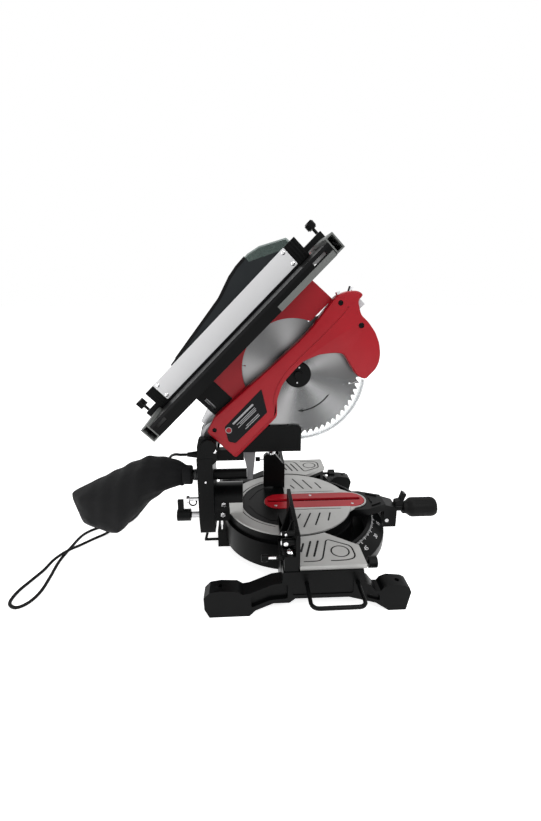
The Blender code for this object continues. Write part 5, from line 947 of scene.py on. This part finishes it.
def add_base():
    cutters = []
    for side in (-1, 1):
        for y in (-0.168, 0.138):
            cutters.append(bar((side * 0.215, y, -0.12), (side * 0.215, y, 0.02), 0.0042, 16))
        for outline, depth in ((mm((24, -32), (48, -35), (86, -53), (86, -76), (54, -62), (24, -60)), 0.006),
                               (mm((16, -12), (-88, -12), (-88, -54), (16, -54)), 0.0015),
                               (mm((-112, -44), (-126, -58), (-134, -58), (-136, -72), (-112, -64)), 0.004)):
            low, high = sorted((side * (0.2300 - depth), side * 0.2400))
            cutters.append(prism(rounded(outline, 0.004), "X", low, high))
    casting = carved(copy_of("base_casting"), [drawn(cutter) for cutter in cutters])
    piece_of("base_casting_skin", casting, "black_paint", "base", ("base_casting",), edge=0.0022, segments=3)


def add_fences():
    for node in ("left_fence", "right_fence"):
        soften(node, 0.0009, segments=3)
        soften(node + "_bolt", 0.0006, segments=3)
    bolt = [turned([(0, 0.0835), (0.0085, 0.0835), (0.0085, 0.0870), (0.0066, 0.0900), (0.0030, 0.0915), (0, 0.0915)],
                   (0.0690, 0.0345, 0), "Z", 24)]
    piece_of("buttress_cap", joined(bolt), "chrome", "base", edge=0, place=DRAWN)
    post = [bar((0.0690, 0.0345, 0.060), (0.0690, 0.0345, 0.0838), 0.0066, 20),
            bar((0.0690, 0.0480, 0.020), (0.0690, 0.0400, 0.060), 0.0052, 16)]
    piece_of("buttress_post", joined(post), "black_paint", "base", edge=0.0004, place=DRAWN)
    stops, ends = [], []
    for side in (-1, 1):
        for z, radius in ((0.055, 0.0030), (0.039, 0.0052)):
            ends.append(bar((side * 0.214, 0.0080, z), (side * 0.214, 0.0340, z), radius + 0.0012, 16))
            stops.append(screw_head((side * 0.214, 0.0340, z), (0, 1, 0), radius, 0.0016, "hex"))
            stops.append(screw_head((side * (0.2150 + radius), 0.0270, z), (side, 0, 0), radius * 0.8, 0.0014, "hex"))
        stops.append(bar((side * 0.214, 0.0420, 0.0095), (side * 0.214, 0.0560, 0.0095), 0.0022, 12))
        ends.append(bar((side * 0.214, 0.0290, 0.0095), (side * 0.214, 0.0430, 0.0095), 0.0040, 16))
        ends.append(bar((side * 0.214, 0.0560, 0.0095), (side * 0.214, 0.0680, 0.0095), 0.0062, 20))
    piece_of("fence_stop_screws", joined(stops), "chrome", "base", edge=0.0002, place=DRAWN)
    piece_of("fence_stop_knobs", joined(ends), "black_plastic", "base", edge=0.0010, place=DRAWN)


def add_rods():
    for side, body in (("left", "left_rod"), ("right", "right_rod")):
        soften(side + "_support_rod", 0, angle=60)
        soften(side + "_rod_lock", 0.0010, segments=3)


# ---- Tilt bracket and what hangs on it ----

def add_bracket():
    soften("tilt_bracket", 0.0016, segments=3)
    soften("pivot_bolt", 0.0014, "black_paint", segments=3)
    soften("blade_channel", 0)
    soften("dust_chute", 0.0010)
    dot = [screw_head((-0.0460, 0.1735, 0.070), (-1, 0, 0), 0.0022, 0.0010), screw_head((-0.0450, 0.153, 0.136), (-1, 0, 0), 0.0040, 0.0016)]
    piece_of("bracket_screws", joined(dot), "chrome", "tilt", edge=0, place=DRAWN)
    stops = []
    for y, z in ((0.139, 0.018), (0.141, -0.003)):
        out = -math.sqrt(max(0.0, 0.045 ** 2 - z * z)) if z > 0 else -0.045
        stops.append(bar((out + 0.002, y, z), (out - 0.0035, y, z), 0.0052, 6))
        stops.append(bar((out - 0.0035, y, z), (out - 0.0070, y, z), 0.0030, 12))
    stops.append(bar((-0.0360, 0.144, -0.0195), (-0.0360, 0.144, -0.0300), 0.0046, 6))
    stops.append(bar((-0.0360, 0.144, -0.0300), (-0.0360, 0.144, -0.0420), 0.0026, 12))
    piece_of("bevel_stop_bolts", joined(stops), "chrome", "table", edge=0.0003, place=DRAWN)
    ring = [(-0.030, 0.2035 + 0.0075 * math.cos(t), 0.0185 + 0.0075 * math.sin(t))
            for t in (2 * math.pi * i / 24 for i in range(24))]
    piece_of("detent_pull_ring", bent_bar(ring, 0.0015, closed=True), "black_paint", "detent", edge=0, place=DRAWN, angle=60)
    soften("bevel_lock_knob", 0.0018, segments=3)
    sleeve = bar((-0.030, 0.1905, -0.010), (-0.030, 0.2065, -0.010), 0.0066, 24)
    piece_of("bevel_knob_shaft", sleeve, "steel", "bevel_knob", edge=0.0004, place=DRAWN)
    edge = mm((112, 171), (120, 174), (140, 178.5), (154, 176.5), (170, 168), (180, 160), (184, 152), (179, 150), (172, 159),
              (152, 170), (138, 172), (112, 165))
    piece_of("arm_edge", prism(rounded(edge, 0.003), "X", -0.0300, -0.0150), "cast_aluminium", "head", edge=0.0006,
             place=RAISED)


def add_dust_tube():
    soften("dust_tube", 0.0004, angle=60)
    rings = [turned([(0.0113, y), (0.0128, y + 0.0004), (0.0128, y + 0.0012), (0.0113, y + 0.0016)], (0, 0, 0.067), "Y", 32)
             for y in (0.1935, 0.1965, 0.1995)]
    piece_of("dust_stub_rings", joined(rings), "grey_plastic", "tilt", edge=0, place=DRAWN)


def add_bag():
    mesh = copy_of("dust_bag")
    mesh.normal_update()
    for spot in mesh.verts:
        spot.co -= spot.normal * 0.0022
    data = bpy.data.meshes.new("dust_bag_cloth")
    mesh.to_mesh(data)
    mesh.free()
    bag = bpy.data.objects.new("dust_bag_cloth", data)
    bpy.context.scene.collection.objects.link(bag)
    grid = bag.modifiers.new("grid", "REMESH")
    grid.mode = "VOXEL"
    grid.voxel_size = 0.0045
    settle(bag)
    smooth_skin(bag, 3)
    low, high = (Vector(corner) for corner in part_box("dust_bag"))
    start = [v.co.copy() for v in bag.data.vertices]
    held = bag.vertex_groups.new(name="held")
    held.add([v.index for v in bag.data.vertices if v.co.y < low.y + 0.022], 1.0, "REPLACE")
    cloth = bag.modifiers.new("cloth", "CLOTH")
    cloth.settings.use_pressure = True
    cloth.settings.uniform_pressure_force = 4.0
    cloth.settings.tension_stiffness = 12
    cloth.settings.compression_stiffness = 12
    cloth.settings.bending_stiffness = 0.4
    cloth.settings.vertex_group_mass = "held"
    cloth.settings.effector_weights.gravity = 0
    cloth.point_cache.frame_start = 1
    cloth.point_cache.frame_end = 20
    for frame_number in range(1, 21):
        bpy.context.scene.frame_set(frame_number)
    settle(bag)
    bpy.context.scene.frame_set(1)
    for spot, home in zip(bag.data.vertices, start):
        moved = spot.co - home
        if moved.length > 0.006:
            spot.co = home + moved.normalized() * 0.006
    for spot in bag.data.vertices:
        along = (spot.co.y - low.y) / (high.y - low.y)
        crease = math.sin(46 * along + 24 * (spot.co.z - low.z) + 30 * spot.co.x) * math.sin(math.pi * min(1, along * 1.15))
        around_neck = math.atan2(spot.co.z - high.z + 0.05, spot.co.x)
        gather = math.sin(11 * around_neck) * max(0.0, 1 - along / 0.6) ** 1.5
        spot.co += spot.normal * (0.0012 * crease + 0.0013 * gather - 0.0012)
    smooth_skin(bag, 1)
    finer = bag.modifiers.new("finer", "SUBSURF")
    finer.levels = finer.render_levels = 1
    dress(bag, "bag_fabric", "tilt", ("dust_bag",))
    cuff = [turned([(0.0122, 0.2052), (0.0186, 0.2056), (0.0200, 0.2072), (0.0204, 0.2110), (0.0203, 0.2180),
                    (0.0200, 0.2225), (0.0186, 0.2245), (0.0122, 0.2247), (0.0122, 0.2052)], (0, 0, 0.0675), "Y", 32)]
    piece_of("dust_bag_cuff", joined(cuff), "bag_fabric", "tilt", edge=0, place=DRAWN, angle=60)


def settle(piece):
    """Makes the piece's modifiers part of its mesh."""
    evaluated = piece.evaluated_get(bpy.context.evaluated_depsgraph_get())
    made = bpy.data.meshes.new_from_object(evaluated)
    piece.modifiers.clear()
    piece.data = made


def smooth_skin(piece, rounds):
    mesh = bmesh.new()
    mesh.from_mesh(piece.data)
    for _ in range(rounds):
        bmesh.ops.smooth_vert(mesh, verts=mesh.verts, factor=0.5, use_axis_x=True, use_axis_y=True, use_axis_z=True)
    for face in mesh.faces:
        face.smooth = True
    mesh.to_mesh(piece.data)
    mesh.free()


# ---- Motor, handle and grip ----

def add_motor():
    y, z = ARBOR[0] + 0.04425 * math.cos(math.radians(46)), ARBOR[1] + 0.04425 * math.sin(math.radians(46))
    cutters = []
    for i in range(14):
        turn = math.radians(360 * i / 14 + 8)
        out = (math.cos(turn), math.sin(turn))
        for x in (0.074, 0.150):
            cutters.append(bar((x, y + 0.0385 * out[0], z + 0.0385 * out[1]), (x, y + 0.060 * out[0], z + 0.060 * out[1]), 0.0016, 8))
            cutters.append(bar((x + 0.006, y + 0.0386 * out[0], z + 0.0386 * out[1]), (x + 0.006, y + 0.0601 * out[0], z + 0.0601 * out[1]), 0.0016, 8))
    body = carved(copy_of("motor_housing"), [in_row_frame(cutter) for cutter in cutters])
    piece_of("motor_housing_skin", body, "red_plastic", "head", ("motor_housing",), edge=0.0008)
    cap = copy_of("motor_end_cap")
    slots = [in_row_frame(block((0.175, y - 0.026 + abs(i) * 0.0022, z + i * 0.0085 - 0.0016), (0.200, y + 0.026 - abs(i) * 0.0022, z + i * 0.0085 + 0.0016)))
             for i in (-3, -2, -1, 1, 2, 3)]
    piece_of("motor_end_cap_skin", carved(cap, slots), "black_plastic", "head", ("motor_end_cap",), edge=0.0012, segments=3)
    for node in ("front_brush_cap", "rear_brush_cap"):
        soften(node, 0.0006)


def add_handle():
    soften("handle", 0.0045, segments=5)
    soften("trigger", 0.0012, segments=3)
    soften("lock_off_button", 0.0010, segments=3)


def add_grip():
    y0, z0, reach = -0.2538, -0.024, 0.076
    profile = [(0, 0), (0.0125, 0), (0.0140, 0.0015), (0.0140, 0.008), (0.0150, 0.010), (0.0200, 0.0165), (0.0213, 0.020),
               (0.0215, 0.026), (0.0215, 0.064), (0.0206, 0.070), (0.0180, 0.0740), (0.0140, 0.0757), (0, 0.076)]
    grip = turned([(r, -d) for r, d in profile], (0, y0, z0), "Y", 48)
    cutters = []
    for i in range(16):
        turn = 2 * math.pi * i / 16
        out = (0.0222 * math.cos(turn), 0.0222 * math.sin(turn))
        cutters.append(bar((out[0], y0 - 0.0225, z0 + out[1]), (out[0], y0 - 0.0665, z0 + out[1]), 0.0013, 8))
    piece_of("mitre_grip_skin", carved(grip, cutters), "black_rubber", "grip", ("mitre_grip",), edge=0.0003, place=DRAWN)


# ---- Floor and light ----

def add_floor():
    mesh = bmesh.new()
    bmesh.ops.create_grid(mesh, x_segments=1, y_segments=1, size=14)
    data = bpy.data.meshes.new("floor")
    mesh.to_mesh(data)
    mesh.free()
    floor = bpy.data.objects.new("floor", data)
    floor.location.z = -0.0002
    bpy.context.scene.collection.objects.link(floor)
    made = bpy.data.materials.new("pale_floor")
    made.use_nodes = True
    tree = made.node_tree
    shader = tree.nodes["Principled BSDF"]
    tone = mix_colour(tree, noise(tree, object_coordinates(tree), 3.0), (0.90, 0.90, 0.90, 1), (0.92, 0.92, 0.92, 1))
    tree.links.new(tone, shader.inputs["Base Color"])
    shader.inputs["Roughness"].default_value = 0.9
    shader.inputs["Specular IOR Level"].default_value = 0.1
    seen = seen_directly(tree)
    glow = tree.nodes.new("ShaderNodeEmission")
    tree.links.new(seen, glow.inputs["Strength"])
    both = tree.nodes.new("ShaderNodeAddShader")
    tree.links.new(shader.outputs[0], both.inputs[0])
    tree.links.new(glow.outputs[0], both.inputs[1])
    tree.links.new(both.outputs[0], tree.nodes["Material Output"].inputs["Surface"])
    data.materials.append(made)


def seen_directly(tree, strength=0.80):
    path = tree.nodes.new("ShaderNodeLightPath")
    seen = math_node(tree, "ADD", path.outputs["Is Camera Ray"], path.outputs["Is Glossy Ray"])
    seen = math_node(tree, "ADD", seen, path.outputs["Is Transmission Ray"], clamp=True)
    return math_node(tree, "MULTIPLY", seen, strength)


def add_light():
    world = bpy.data.worlds.new("studio")
    world.use_nodes = True
    tree = world.node_tree
    room = tree.nodes["Background"]
    room.inputs["Color"].default_value = (1, 1, 1, 1)
    strength = math_node(tree, "ADD", seen_directly(tree, 0.74), 0.26)
    tree.links.new(strength, room.inputs["Strength"])
    bpy.context.scene.world = world
    for name, place, size, power in (("key", (-1.9, -1.1, 2.3), 1.2, 42), ("fill", (-1.6, 1.9, 1.3), 1.4, 18),
                                     ("top", (0.4, 0.1, 2.6), 1.8, 34)):
        data = bpy.data.lights.new(name, "AREA")
        data.size = size
        data.energy = power
        lamp = bpy.data.objects.new(name, data)
        aim = Vector((0, 0, 0.35)) - Vector(place)
        lamp.matrix_world = Matrix.Translation(place) @ aim.to_track_quat("-Z", "Y").to_matrix().to_4x4()
        bpy.context.scene.collection.objects.link(lamp)


add_camera()
add_cord()

add_blade()
add_flange()
add_cover()
add_upper_table()
add_rip_fence()
add_upper_guard()
add_lower_guard()
add_turntable()
add_wings()
add_scale()
add_base()
add_fences()
add_rods()
add_bracket()
add_dust_tube()
add_bag()
add_motor()
add_handle()
add_grip()

done = {name for piece in bpy.data.objects if "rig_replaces" in piece for name in piece["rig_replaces"]}
for cad_node in NODES:
    if cad_node not in done:
        soften(cad_node, 0.0005)

add_floor()
add_light()
bpy.context.scene.view_settings.view_transform = "Standard"
